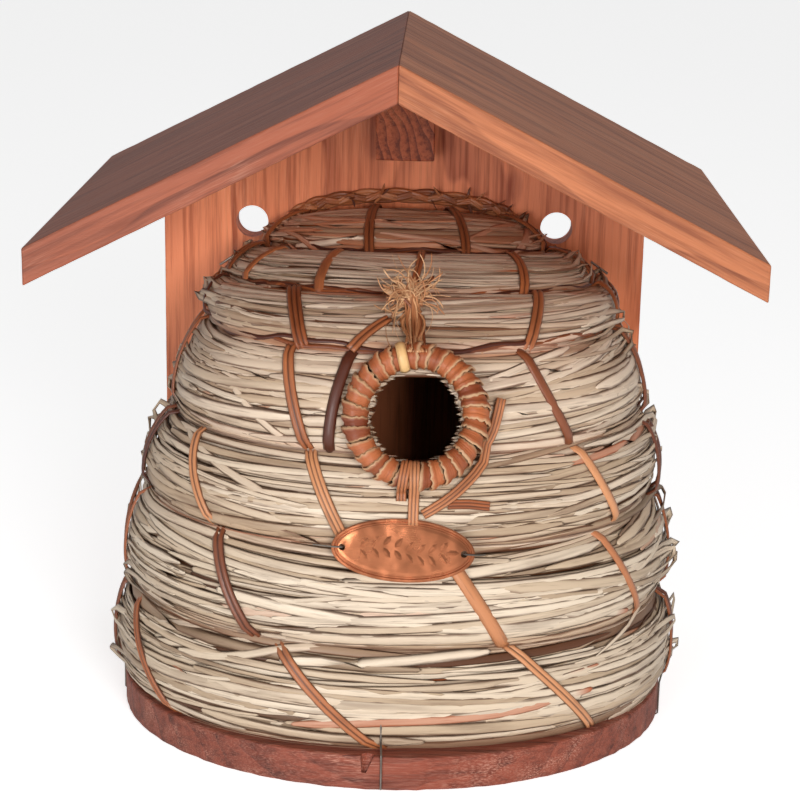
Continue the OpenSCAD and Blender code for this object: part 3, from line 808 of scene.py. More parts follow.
class BladeLayer:
    """Lays blades on the straw's surface, cut clear of the entrance."""

    def __init__(self, surface, look, seed):
        self.surface = surface
        self.look = look
        self.rng = random.Random(seed)
        self.strands = []

    def width(self):
        kind = self.rng.random()
        if kind < 0.3:
            share = self.rng.uniform(0.4, 0.7)
        elif kind < 0.8:
            share = self.rng.uniform(0.75, 1.1)
        else:
            share = self.rng.uniform(1.1, 1.5)
        return self.look.blade_width / 2 * share

    def open_runs(self, points):
        """Stretches of a path outside the entrance: the points of each, and which of its ends were cut."""
        r, _ = self.surface.off_axis(points)
        limit = self.surface.ring_major - self.surface.ring_d / 2 + self.rng.uniform(*FRINGE) * MM
        clear = np.concatenate([[False], r > limit, [False]])
        starts = np.flatnonzero(clear[1:] & ~clear[:-1])
        stops = np.flatnonzero(clear[:-1] & ~clear[1:])
        for start, stop in zip(starts, stops):
            if stop - start < 3:
                continue
            places = list(np.linspace(start, stop - 1, stop - start))
            if start > 0:
                places.insert(0, start - (r[start] - limit) / (r[start] - r[start - 1]))
            if stop < len(r):
                places.append(stop - 1 + (r[stop - 1] - limit) / (r[stop - 1] - r[stop]))
            yield np.array(places), (start > 0, stop < len(r))

    @staticmethod
    def spaced(points):
        """Indices of points that don't lie almost on the one before."""
        kept = [0]
        for i in range(1, len(points)):
            if np.linalg.norm(points[i] - points[kept[-1]]) > 0.5 * MM:
                kept.append(i)
        return np.array(kept)

    def add(self, points, normals, half_width, tone, roll, wear_and_shade, ends):
        """Thins a finely stepped path to the few points its curve needs, and adds it as blades."""
        points = self.surface.seated(points)
        numbers = np.arange(len(points))
        for places, cut in self.open_runs(points):
            steps = np.linalg.norm(np.diff(points, axis=0), axis=1).sum() * len(places) / len(points)
            keep = int(np.clip(4 + steps / (11 * MM), 5, 14))
            picked = np.interp(np.linspace(0, len(places) - 1, keep), np.arange(len(places)), places)
            at = [np.stack([np.interp(picked, numbers, v[:, axis]) for axis in range(3)], axis=-1)
                  for v in (points, normals)]
            kept = self.spaced(at[0])
            if len(kept) < 3:
                continue
            taper = np.ones(len(kept))
            taper[0], taper[-1] = (self.rng.uniform(0.15, 0.5) if c else e for c, e in zip(cut, ends))
            self.strands.append(strand(
                at[0][kept], unit_rows(at[1][kept]), half_width * taper, tone,
                np.interp(picked, numbers, roll)[kept], np.interp(picked, numbers, wear_and_shade)[kept], blunt=False))

    def blade(self, k, s0, s1, t0, t1, lift, tone, loose=1.0):
        """A blade from station s0 to s1, rising from t0 to t1, that waves a little on the way."""
        rng = self.rng
        count = max(int(abs(s1 - s0) / 1.6), 8)
        f = np.linspace(0, 1, count)
        s = np.clip(mixed(s0, s1, f), 0.5 - LAST_STATION, LAST_STATION - 0.5)
        wave = rng.uniform(-0.03, 0.03) * np.sin(f * math.pi * rng.uniform(1, 3) + rng.uniform(0, 6))
        t = np.clip(mixed(t0, t1, f) + wave * loose, -0.05, 1.05)
        heave = rng.uniform(0, 0.2) * MM * np.sin(f * math.pi * rng.uniform(1, 4) + rng.uniform(0, 6))
        groove = SEAM_DEPTH[k] * MM * (1 - np.sqrt(np.clip(4 * t * (1 - t), 0, 1)))
        above = lift + heave - groove
        points, normals = self.surface.lifted(k, s, t, above)
        pressed = np.maximum(above + 0.7 * MM, 0) * self.surface.behind_plaque(points)
        points = points - normals * pressed[:, None]
        turn = rng.gauss(0, 0.09) + rng.uniform(-0.1, 0.1) * np.sin(f * math.pi * 2 + rng.uniform(0, 6))
        if rng.random() < 0.05:
            turn = turn + smooth_step((f - rng.uniform(0.2, 0.7)) * 5) * math.pi
        # Row brownness: brown straw, and in the upper rows also painted shade under the roof.
        wear_and_shade = np.full(count, min(BROWN_AND_SHADE[k] * rng.uniform(0.3, 1.7), 0.9))
        # Blades darken toward the seams: painted shade in the grooves between rows.
        at_seam = 1 - smooth_step(4 * t * (1 - t) / 0.55)
        wear_and_shade = np.maximum(wear_and_shade, SEAM_SHADE[k] * at_seam * rng.uniform(0.6, 1.1))
        if rng.random() < 0.03:
            wear_and_shade = np.full(count, rng.uniform(0.25, 0.7))
        elif rng.random() < 0.06:
            wear_and_shade = np.maximum(wear_and_shade, smooth_step((f - rng.uniform(0.82, 0.93)) * 9) * rng.uniform(0.5, 1))
        ends = (rng.uniform(0.2, 0.7), rng.uniform(0.2, 0.7))
        self.add(points, normals, self.width(), tone, turn, wear_and_shade, ends)

    def tone(self, light):
        return min(max(self.rng.gauss(light, 0.17), 0.02), 0.98)

    def bundle(self, k, pitch, s, span, t, rise, lift, light):
        """Blades laid side by side, which draw together or apart towards the bundle's ends."""
        rng = self.rng
        count = rng.randint(3, 6)
        first, last = rng.uniform(0.6, 1.5), rng.uniform(0.6, 1.5)
        if s + span / 2 > 20:
            rise += RIGHT_RISE[k] * rng.uniform(0.5, 1.3)
        for i in range(count):
            place = (i - (count - 1) / 2) * pitch
            self.blade(k, s + rng.uniform(-9, 9), s + span + rng.uniform(-9, 9), t + place * first,
                       t + rise + place * last, lift + rng.uniform(-0.15, 0.15) * MM, self.tone(light), 0.5)

    def fill(self, k, height):
        """A bed of blades painted darker the deeper they lie, as shade, then lighter bundles over it, then a
        few loose blades.
        """
        rng, look = self.rng, self.look
        lanes = max(int(height / look.blade_width * 1.1), 4)
        for layer in range(look.layers):
            share = layer / (look.layers - 1)
            # Deeper layers take darker tones: painted shade under the blades above them.
            lift = mixed(-look.bed_depth, -1.3 * MM, share)
            for lane in range(lanes):
                s = -LAST_STATION - rng.uniform(0, 60)
                while s < LAST_STATION - 4:
                    span = rng.uniform(60, 150)
                    t = (lane + rng.uniform(0.1, 0.9)) / lanes
                    self.blade(k, s, s + span, t, t + rng.gauss(0, 0.06), lift + rng.uniform(-0.3, 0.3) * MM,
                               self.tone(mixed(-0.1, 0.22, share)))
                    s += span * rng.uniform(0.85, 1.1)
        pitch = look.blade_width / height
        bundles = int(lanes * 2.1)
        for number in range(bundles):
            span = rng.uniform(50, 130)
            s = rng.uniform(-LAST_STATION - 20, LAST_STATION + 20 - span)
            # Each row's bundles are painted lighter or darker for the light that reaches the row.
            self.bundle(k, pitch, s, span, rng.uniform(-0.02, 1.02), rng.gauss(0, 0.13),
                        mixed(-1.1, 0.9, number / bundles) * MM, rng.uniform(0.32, 0.86) + ROW_PAINTED_LIGHT[k])
        for _ in range(int(lanes * 1.6)):
            s = rng.uniform(-115, 80)
            t = rng.uniform(0.04, 0.96)
            self.blade(k, s, s + rng.uniform(30, 80), t, t + rng.gauss(0, 0.2), rng.uniform(0.6, 1.2) * MM,
                       self.tone(0.75))

    def folds(self, k, side, count):
        """Blades that run to the side, turn back on themselves there and stand out as loops."""
        rng = self.rng
        for _ in range(count):
            turn_at = rng.uniform(82, 100)
            run = rng.uniform(18, 45)
            t0 = rng.uniform(0.08, 0.9)
            step = rng.choice((-1, 1)) * rng.uniform(0.08, 0.22)
            out = rng.uniform(0.4, 5.5) * MM
            f = np.linspace(0, 1, 26)
            bend = np.abs(2 * f - 1)
            s = side * (turn_at - run * bend ** 1.3)
            t = np.clip(t0 + step * smooth_step((f - 0.35) / 0.3) + step * 0.25 * (f - 0.5), 0, 1)
            lift = 0.4 * MM + out * (1 - smooth_step(bend * 2.2))
            points, normals = self.surface.lifted(k, s, t, lift)
            roll = np.full(len(f), rng.uniform(-0.4, 0.4))
            roll = roll + smooth_step((f - 0.4) * 5) * rng.choice((0, math.pi))
            # Row brownness, partly painted shade under the roof.
            wear_and_shade = np.full(len(f), BROWN_AND_SHADE[k] * rng.uniform(0.5, 1.5))
            self.add(points, normals, self.width() * 0.8, self.tone(0.6), roll, wear_and_shade, (0.4, 0.4))


def row_height(surface, k):
    """Height of a row measured over its bulge, at the front."""
    t = np.linspace(0, 1, 12)
    points = surface.skin(k, np.zeros(12), t)
    return float(np.linalg.norm(np.diff(points, axis=0), axis=1).sum())


def shrunk_copy(name, node, depth, material):
    """A copy of a node, merged and drawn in along its normals, as the bed behind its blades."""
    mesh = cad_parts[node].data.copy()
    mesh.name = name
    bm = bmesh.new()
    bm.from_mesh(mesh)
    bmesh.ops.remove_doubles(bm, verts=bm.verts, dist=1e-5)
    bm.normal_update()
    at_board = max(v.co.y for v in bm.verts) - 0.1 * MM
    moves = [(v, v.normal.copy()) for v in bm.verts]
    for v, n in moves:
        if v.co.y > at_board:
            n.y = 0
            n.normalize()
        v.co -= n * depth
    bm.to_mesh(mesh)
    bm.free()
    mesh.materials.clear()
    mesh.materials.append(material)
    return link(bpy.data.objects.new(name, mesh))


class NEST_OT_straw_rows(bpy.types.Operator):
    """Lays the blades of the seven straw rows over a near-black bed, painted shade between the blades"""

    bl_idname = "nest.straw_rows"
    bl_label = "Straw Rows"

    def execute(self, context):
        look = context.scene.nest_straw
        surface = StrawSurface(context.scene.nest_skep)
        # The blades' edges are darkened to the dark straw colour, painted shade between the blades.
        straw = material_named(
            "straw_blades", fibre_material, "straw_blades", look.pale, look.middle, look.dark,
            look.scorched_and_shade, 0.5, 0.00008, coat=0.06, coat_roughness=0.45,
            edge=tuple(look.dark), edge_share=0.7)
        # The near-black bed is painted shade seen between the blades.
        bed = material_named("straw_shade_bed", shade_bed_material, look.bed)
        profile = blade_profile(look.blade_thickness / look.blade_width * 2)
        for k in range(ROWS):
            node = f"straw_row_{k + 1}"
            layer = BladeLayer(surface, look, look.seed + k)
            height = row_height(surface, k)
            layer.fill(k, height)
            for side in (-1, 1):
                layer.folds(k, side, int(height / MM * 0.3))
            swept_piece(f"{node}_blades", layer.strands, profile, straw, "straw", node)
            finish_piece(shrunk_copy(f"{node}_bed", node, look.bed_depth, bed), "straw")
        return {"FINISHED"}


# ---------------------------------------------------------------- cane

# For each row, its stitches: foot station, top station, share of the usual width, tone, ribs
STITCHES = {
    0: ((-0.5, -23, 1.0, 0.55, 2), (-48, -70, 0.95, 0.45, 2), (46, 23, 0.9, 0.85, 2)),
    1: ((-27, -40, 1.1, 0.2, 2), (23, 9, 1.15, 0.7, 1), (63, 47, 0.75, 0.6, 1)),
    2: ((-41, -57, 1.0, 0.75, 2), (-8, -20, 1.1, 0.8, 3), (57, 43, 0.85, 0.85, 1)),
    3: ((-20, -29, 1.05, 0.5, 2), (-15, -9.5, 1.0, 0.06, 1), (43, 30, 0.85, 0.22, 1)),
    4: ((-25, -32, 1.25, 0.28, 3), (33, 39, 1.0, 0.5, 2)),
    5: ((-62, -50, 0.8, 0.5, 1), (-23, -20, 0.9, 0.5, 1), (2, 5, 0.7, 0.45, 2), (34, 42, 0.9, 0.45, 2)),
    6: ((-9, -20, 0.95, 0.25, 2), (21, 33, 0.9, 0.25, 2)),
}


def cane_material(context, ribs):
    look = context.scene.nest_cane
    # The darkest cane colour, also painted as shade into the grooves between ribs.
    worn = tuple(c * 0.4 for c in look.dark)
    name = f"cane_{ribs}_ribs"
    return material_named(name, fibre_material, name, look.light, look.middle, look.dark, worn, 0.45, 0.0003,
                          coat=0.4, coat_roughness=0.3, ribs=float(ribs) if ribs > 1 else 0.0)


def dipped(count, lift, dip):
    """Lift along a stitch whose two ends go down into the seams."""
    f = np.linspace(0, 1, count)
    ends = smooth_step(np.minimum(f, 1 - f) / 0.14)
    return mixed(-dip, lift, ends)


def stitch_strand(surface, k, s0, s1, half_width, lift, tone, t0=-0.03, t1=1.03, bow=0.0, wear_and_shade=0.0):
    count = 16
    f = np.linspace(0, 1, count)
    s = mixed(s0, s1, f) + bow * np.sin(f * math.pi)
    t = mixed(t0, t1, f)
    points, normals = surface.lifted(k, s, t, dipped(count, lift, 1.4 * MM))
    return strand(points, normals, half_width, tone, wear_and_shade=wear_and_shade)


class NEST_OT_stitches(bpy.types.Operator):
    """Makes the cane stitches that hold each row of straw"""

    bl_idname = "nest.stitches"
    bl_label = "Cane Stitches"

    def execute(self, context):
        look = context.scene.nest_cane
        surface = StrawSurface(context.scene.nest_skep)
        rng = random.Random(7)
        for k, stitches in STITCHES.items():
            by_ribs = {}
            for s0, s1, share, tone, ribs in stitches:
                one = stitch_strand(surface, k, s0, s1, look.width / 2 * share, look.lift, tone,
                                    bow=rng.uniform(-1.2, 1.2))
                by_ribs.setdefault(ribs, []).append(one)
            if k == 4:
                f = np.linspace(0, 1, 10)
                points, normals = surface.lifted(4, mixed(-10.5, -1.5, f), mixed(-0.02, 0.34, f), look.lift)
                by_ribs[2].append(strand(points, normals, look.width / 2, 0.5))
            for ribs, strands in by_ribs.items():
                swept_piece(f"row_stitches_{k + 1}_{ribs}_ribs", strands,
                            cane_profile(look.thickness / look.width * 2, ribs),
                            cane_material(context, ribs), "cane", f"row_stitches_{k + 1}")
        return {"FINISHED"}


class NEST_OT_edge_bindings(bpy.types.Operator):
    """Wraps cane round the ends of each row, on both sides"""

    bl_idname = "nest.edge_bindings"
    bl_label = "Edge Bindings"

    def execute(self, context):
        look = context.scene.nest_cane
        surface = StrawSurface(context.scene.nest_skep)
        material = cane_material(context, 1)
        profile = cane_profile(look.thickness / look.width * 3, 1)
        rng = random.Random(11)
        for side, label in ((-1, "left"), (1, "right")):
            strands = []
            for k in range(ROWS):
                for turn in range(2):
                    s = side * (83 + turn * 6 + rng.uniform(-2, 2))
                    lean = side * rng.uniform(-6, 6)
                    strands.append(stitch_strand(
                        surface, k, s, s + lean, look.width / 2 * rng.uniform(0.5, 0.75),
                        look.lift + 1.0 * MM, rng.uniform(0.03, 0.4), bow=rng.uniform(-1.5, 1.5)))
            swept_piece(f"edge_binding_{label}_cane", strands, profile, material, "cane",
                        f"edge_binding_{label}")
        return {"FINISHED"}


class NEST_OT_top_binding(bpy.types.Operator):
    """Braids cane along the top edge of the cap, with frayed bits"""

    bl_idname = "nest.top_binding"
    bl_label = "Top Binding"

    def execute(self, context):
        surface = StrawSurface(context.scene.nest_skep)
        material = cane_material(context, 1)
        rng = random.Random(13)
        radius = 2.2 * MM
        out_by = 2.1 * MM + surface.skep.proud[ROWS - 1] * 0.8
        s = np.linspace(-110, 110, 90)
        edge = surface.cap_edge(s)
        along = unit_rows(surface.cap_edge(s + 1) - surface.cap_edge(s - 1))
        outward = np.stack([-along[:, 2], np.zeros(len(s)), along[:, 0]], axis=-1)
        middle = edge + outward * out_by - np.array((0, 2.1 * MM, 0))
        strands = []
        for i in range(3):
            phase = s / 11 + i * 2 * math.pi / 3
            swing = outward * (np.sin(phase) * radius * 0.85)[:, None]
            swing[:, 1] -= np.cos(phase * 2) * radius * 0.35
            normals = unit_rows(np.array((0, -1.0, 0)) + outward * np.sin(phase)[:, None] * 0.5)
            strands.append(strand(middle + swing, normals, 1.6 * MM, 0.25 + 0.15 * i))
        for _ in range(26):
            i = rng.randrange(4, 84)
            length = rng.uniform(3, 9) * MM
            f = np.linspace(0, 1, 6)[:, None]
            aim = along[i] * rng.uniform(-1, 1) + outward[i] * rng.uniform(-0.7, 0.8)
            aim = aim + np.array((0, -1, 0)) * rng.uniform(0.1, 0.9)
            aim = aim / np.linalg.norm(aim)
            curl = np.array([rng.uniform(-1, 1) for _ in range(3)]) * 0.3
            points = middle[i] + (aim * f + curl * f * f) * length
            points[:, 1] = np.minimum(points[:, 1], surface.face_y - 0.5 * MM)
            strands.append(strand(points, np.tile((0, -1.0, 0), (6, 1)), rng.uniform(0.25, 0.6) * MM,
                                  rng.uniform(0.05, 0.6), blunt=False))
        swept_piece("top_binding_cane", strands, cane_profile(0.5, 2), material, "cane", "top_binding")
        self.add_seam_canes(context, surface, rng)
        return {"FINISHED"}

    def add_seam_canes(self, context, surface, rng):
        """Dark cane laid in the seams of the three upper rows, in overlapping wavy lengths."""
        strands = []
        for k in (4, 5, 6):
            for _ in range(4):
                s = np.linspace(rng.uniform(-88, -30), rng.uniform(20, 88), 40)
                wave = 0.04 * np.sin(s / rng.uniform(9, 22) + rng.uniform(0, 6))
                wave = wave + 0.015 * np.sin(s / rng.uniform(2, 4))
                height = np.clip(0.03 + wave, -0.05, 1)
                points, normals = surface.lifted(k, s, height, rng.uniform(-0.9, 0.2) * MM)
                strands.append(strand(points, normals, rng.uniform(0.5, 1.1) * MM, rng.uniform(0.0, 0.38),
                                      blunt=False))
        swept_piece("seam_cane", strands, cane_profile(0.5, 1), cane_material(context, 1), "cane")


class NEST_OT_entrance_ring(bpy.types.Operator):
    """Winds the entrance ring with overlapping turns of cane and adds its ties"""

    bl_idname = "nest.entrance_ring"
    bl_label = "Entrance Ring"

    def execute(self, context):
        look = context.scene.nest_cane
        surface = StrawSurface(context.scene.nest_skep)
        middle = tuple(mixed(a, b, 0.45) for a, b in zip(look.ring_light, look.ring_dark))
        wrap = material_named(
            "ring_wrap", fibre_material, "ring_wrap", look.ring_light, middle, look.ring_dark,
            tuple(c * 0.4 for c in look.ring_dark), 0.75, 0.0006, coat=0.15, edge=tuple(look.ring_edge),
            edge_share=0.85)
        rng = random.Random(17)
        strands = []
        count = 30
        for i in range(look.wraps):
            angle = 2 * math.pi * (i + rng.uniform(-0.12, 0.12)) / look.wraps
            lean = rng.uniform(0.05, 0.12)
            turn = np.linspace(-math.pi * 0.75, math.pi * 1.2, count)
            a = angle + lean * np.sin(turn / 2)
            out = rng.uniform(-0.25, 0.25) * MM
            points = surface.ring_point(a, turn, np.full(count, out))
            normals = unit_rows(surface.ring_point(a, turn, np.full(count, out + MM)) - points)
            pitch = 2 * math.pi * np.linalg.norm(surface.off_axis(points)[0][:, None], axis=1) / look.wraps
            ragged = np.array([rng.uniform(0.8, 1.16) for _ in range(count)])
            strands.append(strand(points, normals, pitch * 0.62 * ragged, rng.uniform(0.1, 0.95),
                                  roll=0.28 + rng.uniform(-0.16, 0.12)))
        swept_piece("entrance_wrap_cane", strands, cane_profile(0.2, 2), wrap, "wrap", "entrance_wrap")
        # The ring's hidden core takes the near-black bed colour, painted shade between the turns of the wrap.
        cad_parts["entrance_core"].data.materials.clear()
        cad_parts["entrance_core"].data.materials.append(
            material_named("straw_shade_bed", shade_bed_material, context.scene.nest_straw.bed))
        self.add_ties(context, surface)
        return {"FINISHED"}

    def add_ties(self, context, surface):
        """The ties over the ring at its top and foot, and the strips that lie beside it on the straw."""
        look = context.scene.nest_cane
        pale = material_named("tie_cane", fibre_material, "tie_cane", srgb(236, 196, 136), srgb(214, 160, 98),
                              srgb(150, 92, 48), srgb(92, 50, 26), 0.3, 0.0002, coat=0.4)
        thickness = look.thickness / look.width * 2
        top = self.over_ring(surface, 104, 0.95, 0.02, 0.0)
        swept_piece("ring_tie_top", [strand(*top, 1.9 * MM, 0.8)], cane_profile(thickness, 1), pale, "cane",
                    "ring_ties")
        strands = []
        for degrees, drop, half_width, tone in ((270.5, 14.8, 2.1, 0.7), (260.5, 5, 2.0, 0.55)):
            points, _ = self.over_ring(surface, degrees, 0.95, 0.12, drop * MM)
            points, normals = self.smoothed(surface, points)
            strands.append(strand(points, normals, half_width * MM, tone))
        for path, half_width, tone, lift in (
                (((13, 34.0), (2, 31.8), (-12, 31.0), (-28, 30.8), (-42, 31.2), (-56, 32.2), (-70, 34.2),
                  (-84, 37.5)), 2.0, 0.62, (3.4, 3.6, 3.2, 2.4, 1.2)),
                (((-68, 35.5), (-56, 39.5), (-48, 45.0)), 1.9, 0.4, (1.2, 1.6))):
            points = np.array([self.beside_ring(surface, a, r * MM) for a, r in path])
            lifts = np.interp(np.linspace(0, 1, 18), np.linspace(0, 1, len(lift)), lift) * MM
            points, normals = surface.laid(resampled(points, 18), lifts)
            strands.append(strand(points, normals, half_width * MM, tone))
        swept_piece("ring_ties_cane", strands, cane_profile(thickness, 3), cane_material(context, 3), "cane",
                    "ring_ties")

    @staticmethod
    def over_ring(surface, degrees, start, stop, drop):
        """A path over the ring at one angle, from inside it to its outer side, then down by a drop."""
        count = 12
        turn = np.linspace(math.pi * start, math.pi * stop, count)
        a = np.full(count, math.radians(degrees))
        points = surface.ring_point(a, turn, np.full(count, 0.9 * MM))
        normals = unit_rows(surface.ring_point(a, turn, np.full(count, 1.9 * MM)) - points)
        if drop:
            foot = points[-1] - surface.ring_up * drop
            more, _ = surface.laid(np.array([mixed(points[-1], foot, f) for f in (0.25, 0.6, 1.0)]), 1.2 * MM)
            points = np.concatenate([points, more])
            return points, None
        return points, normals

    @staticmethod
    def smoothed(surface, points):
        """The path's points evened out, with normals that lean away from the ring's middle line."""
        points = resampled(points, 20)
        along = unit_rows(np.gradient(points, axis=0))
        side = np.cross(np.broadcast_to((1.0, 0, 0), points.shape), along)
        return points, unit_rows(side * np.sign((side @ surface.ring_axis).mean()))

    @staticmethod
    def beside_ring(surface, degrees, radius):
        a = math.radians(degrees)
        return (surface.ring_mid + np.array((1.0, 0, 0)) * radius * math.cos(a)
                + surface.ring_up * radius * math.sin(a))


def resampled(points, count):
    """The same path through evenly spaced points, its corners eased."""
    steps = np.concatenate([[0], np.cumsum(np.linalg.norm(np.diff(points, axis=0), axis=1))])
    places = np.linspace(0, steps[-1], count)
    even = np.stack([np.interp(places, steps, points[:, axis]) for axis in range(3)], axis=-1)
    for _ in range(2):
        even[1:-1] = (even[:-2] + even[1:-1] * 2 + even[2:]) / 4
    return even


RIBBONS = 46
TORN_FIBRES = 90


class NEST_OT_raffia_knot(bpy.types.Operator):
    """Ties the frayed raffia knot over the entrance"""

    bl_idname = "nest.raffia_knot"
    bl_label = "Raffia Knot"

    def execute(self, context):
        surface = StrawSurface(context.scene.nest_skep)
        low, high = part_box("raffia_knot")
        raffia = material_named("raffia_fibre", fibre_material, "raffia_fibre", srgb(222, 178, 134),
                                srgb(192, 132, 88), srgb(120, 62, 32), srgb(104, 54, 28), 0.75, 0.0002)
        rng = random.Random(19)
        ring_top = surface.ring_mid + surface.ring_up * (surface.ring_major + surface.ring_d / 2 - 1 * MM)
        foot = np.array(((low.x + high.x) / 2 + 1.5 * MM, ring_top[1], ring_top[2]))
        row_face = surface.skin(4, [0], [0.5])[0][1]
        strands = [self.ribbon(rng, foot, row_face) for _ in range(RIBBONS)]
        strands += [self.fibre(rng, foot, row_face) for _ in range(TORN_FIBRES)]
        swept_piece("raffia_knot_fibres", strands, blade_profile(0.3), raffia, "raffia", "raffia_knot")
        return {"FINISHED"}

    @staticmethod
    def placed(foot, row_face, across, up, lift):
        """Points in front of the fifth row, from distances across and up from the knot's foot."""
        y = np.interp(up, (0, 7 * MM, 15 * MM, 34 * MM),
                      (foot[1] - 5 * MM, row_face - 1 * MM, row_face - 1 * MM, row_face + 8 * MM))
        return np.stack([foot[0] + across, y - lift, foot[2] + up], axis=-1)

    def ribbon(self, rng, foot, row_face):
        """A ribbon that flows down through the pinch of the knot to the ring."""
        f = np.linspace(0, 1, 14)
        sideways = ((-2, 4.5), (-1, 1.5), (-0.2, 2.8), (0.4, 1.6))
        top, pinch, belly, end = (rng.gauss(mean, spread) * MM for mean, spread in sideways)
        high = rng.uniform(14, 21) * MM
        across = np.interp(f, (0, 0.3, 0.65, 1), (top, pinch, belly, end))
        lift = rng.uniform(0, 3.2) * np.sin(f * math.pi) ** 0.7 * MM
        points = resampled(self.placed(foot, row_face, across, high * (1 - f), lift), 14)
        lean = rng.uniform(-0.7, 0.7)
        normals = unit_rows(np.tile((lean, -1.0, 0.2), (14, 1)))
        return strand(points, normals, rng.uniform(0.35, 1.0) * MM, rng.uniform(0.0, 0.9), blunt=False)

    def fibre(self, rng, foot, row_face):
        """A thin torn fibre that curls away from the pinch of the knot."""
        count = 14
        f = np.linspace(0, 1, count)
        aim = rng.choice((rng.gauss(92, 30), rng.gauss(160, 26), rng.gauss(30, 26), rng.gauss(215, 20)))
        length = rng.uniform(6, 16) * MM
        angle = np.radians(aim + rng.uniform(-170, 170) * f ** 1.4)
        across = rng.gauss(-1.0, 2.0) * MM + np.cumsum(np.cos(angle)) * length / count
        up = rng.uniform(10, 18) * MM + np.cumsum(np.sin(angle)) * length / count
        lift = (1.0 + rng.uniform(0, 5) * f) * MM
        points = resampled(self.placed(foot, row_face, across, up, lift), count)
        normals = unit_rows(np.tile((rng.uniform(-1, 1), -1.0, 0.3), (count, 1)))
        return strand(points, normals, rng.uniform(0.1, 0.3) * MM, rng.uniform(0.2, 0.98), blunt=False)


# ---------------------------------------------------------------- boards

# Without a seed, mathutils' noise starts from the clock, and the boards differ from run to run
BOARD_SEED = 23


def outline_solid(name, outline, push, bevel, rough, long_step=None):
    """A board: an outline pushed through its thickness, its arrises worn and its faces a little uneven."""
    noise.seed_set(BOARD_SEED)
    bm = bmesh.new()
    corners = []
    for a, b in zip(outline, outline[1:] + outline[:1]):
        cuts = max(int((b - a).length / long_step), 1) if long_step else 1
        corners += [a.lerp(b, i / cuts) for i in range(cuts)]
    face = bm.faces.new([bm.verts.new(p) for p in corners])
    pushed = bmesh.ops.extrude_face_region(bm, geom=[face])
    bmesh.ops.translate(bm, vec=push, verts=[g for g in pushed["geom"] if isinstance(g, bmesh.types.BMVert)])
    bmesh.ops.recalc_face_normals(bm, faces=bm.faces)
    sharp = [e for e in bm.edges if e.is_manifold and e.calc_face_angle() > math.radians(30)]
    bmesh.ops.bevel(bm, geom=sharp, offset=bevel, segments=2, profile=0.5, affect="EDGES", material=-1,
                    clamp_overlap=True)
    for v in bm.verts:
        v.co += noise.noise_vector(v.co * 260) * rough
    for f in bm.faces:
        f.smooth = False
    mesh = bpy.data.meshes.new(name)
    bm.to_mesh(mesh)
    bm.free()
    return link(bpy.data.objects.new(name, mesh))


def cut_away(obj, cutters):
    """Cuts closed shapes out of a piece, and removes them."""
    for cutter in cutters:
        modifier = obj.modifiers.new("cut", "BOOLEAN")
        modifier.operation = "DIFFERENCE"
        modifier.solver = "EXACT"
        modifier.object = cutter
    bpy.context.view_layer.update()
    shaped = obj.evaluated_get(bpy.context.evaluated_depsgraph_get())
    mesh = bpy.data.meshes.new_from_object(shaped)
    old = obj.data
    obj.modifiers.clear()
    obj.data = mesh
    bpy.data.meshes.remove(old)
    for cutter in cutters:
        data = cutter.data
        bpy.data.objects.remove(cutter)
        bpy.data.meshes.remove(data)


def rod(name, radius, length, matrix, segments=48, top_radius=None):
    bm = bmesh.new()
    bmesh.ops.create_cone(bm, cap_ends=True, segments=segments, radius1=radius, radius2=top_radius or radius,
                          depth=length, matrix=matrix)
    mesh = bpy.data.meshes.new(name)
    bm.to_mesh(mesh)
    bm.free()
    return link(bpy.data.objects.new(name, mesh))


def dress(obj, material, slot, *nodes):
    obj.data.materials.clear()
    obj.data.materials.append(material)
    return finish_piece(obj, slot, *nodes)


BACK_TURN = (0.0, math.radians(90), 0.0)


class NEST_OT_backboard(bpy.types.Operator):
    """Cuts the gabled backboard with its two hanging holes"""

    bl_idname = "nest.backboard"
    bl_label = "Backboard"

    def execute(self, context):
        look = context.scene.nest_boards
        low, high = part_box("backboard")
        half = high.x
        shoulder = high.z - half * math.tan(look.pitch)
        outline = [Vector((-half, high.y, 0)), Vector((half, high.y, 0)), Vector((half, high.y, shoulder)),
                   Vector((0, high.y, high.z)), Vector((-half, high.y, shoulder))]
        board = outline_solid("backboard_planed", outline, Vector((0, low.y - high.y, 0)), look.bevel,
                              0.08 * MM, 6 * MM)
        turn = Matrix.Rotation(math.radians(90), 4, "X")
        middle_y = (low.y + high.y) / 2
        cutters = [rod("cutter", look.hang_radius, (high.y - low.y) * 1.5, Matrix.Translation(
            (side * look.hang_spacing / 2, middle_y, look.hang_height)) @ turn) for side in (-1, 1)]
        cut_away(board, cutters)
        wood = wood_material("wood_backboard", (236, 140, 94), (150, 66, 34), (244, 180, 142), 0.012, 0.55,
                             0.12, BACK_TURN, (0.0, 0.19, 0.03))
        dress(board, wood, "backboard", "backboard")
        return {"FINISHED"}


class NEST_OT_roof(bpy.types.Operator):
    """Makes the two roof boards"""

    bl_idname = "nest.roof"
    bl_label = "Roof Boards"

    def execute(self, context):
        look = context.scene.nest_boards
        colours = {
            "left": ((152, 80, 53), (88, 40, 26), (184, 130, 108)),
            "right": ((188, 114, 74), (112, 56, 34), (216, 158, 120)),
        }
        for side, label in ((-1, "left"), (1, "right")):
            node = f"roof_{label}"
            low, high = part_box(node)
            ridge_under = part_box("backboard")[1].z
            fall = (high.x - low.x) * math.tan(look.pitch)
            eave_x = side * (high.x - low.x)
            outline = [Vector((0, high.y, ridge_under)), Vector((eave_x, high.y, ridge_under - fall)),
                       Vector((eave_x, high.y, high.z - fall)), Vector((0, high.y, high.z))]
            board = outline_solid(f"{node}_planed", outline, Vector((0, low.y - high.y, 0)), look.bevel,
                                  0.12 * MM, 4 * MM)
            early, late, fuzz = colours[label]
            wood = wood_material(f"wood_{node}", early, late, fuzz, 0.009, 0.4, 0.3,
                                 (0.0, side * -look.pitch, 0.0), (0.0, 0.02, -0.1 + 0.03 * side))
            dress(board, wood, "roof_boards", node)
        return {"FINISHED"}


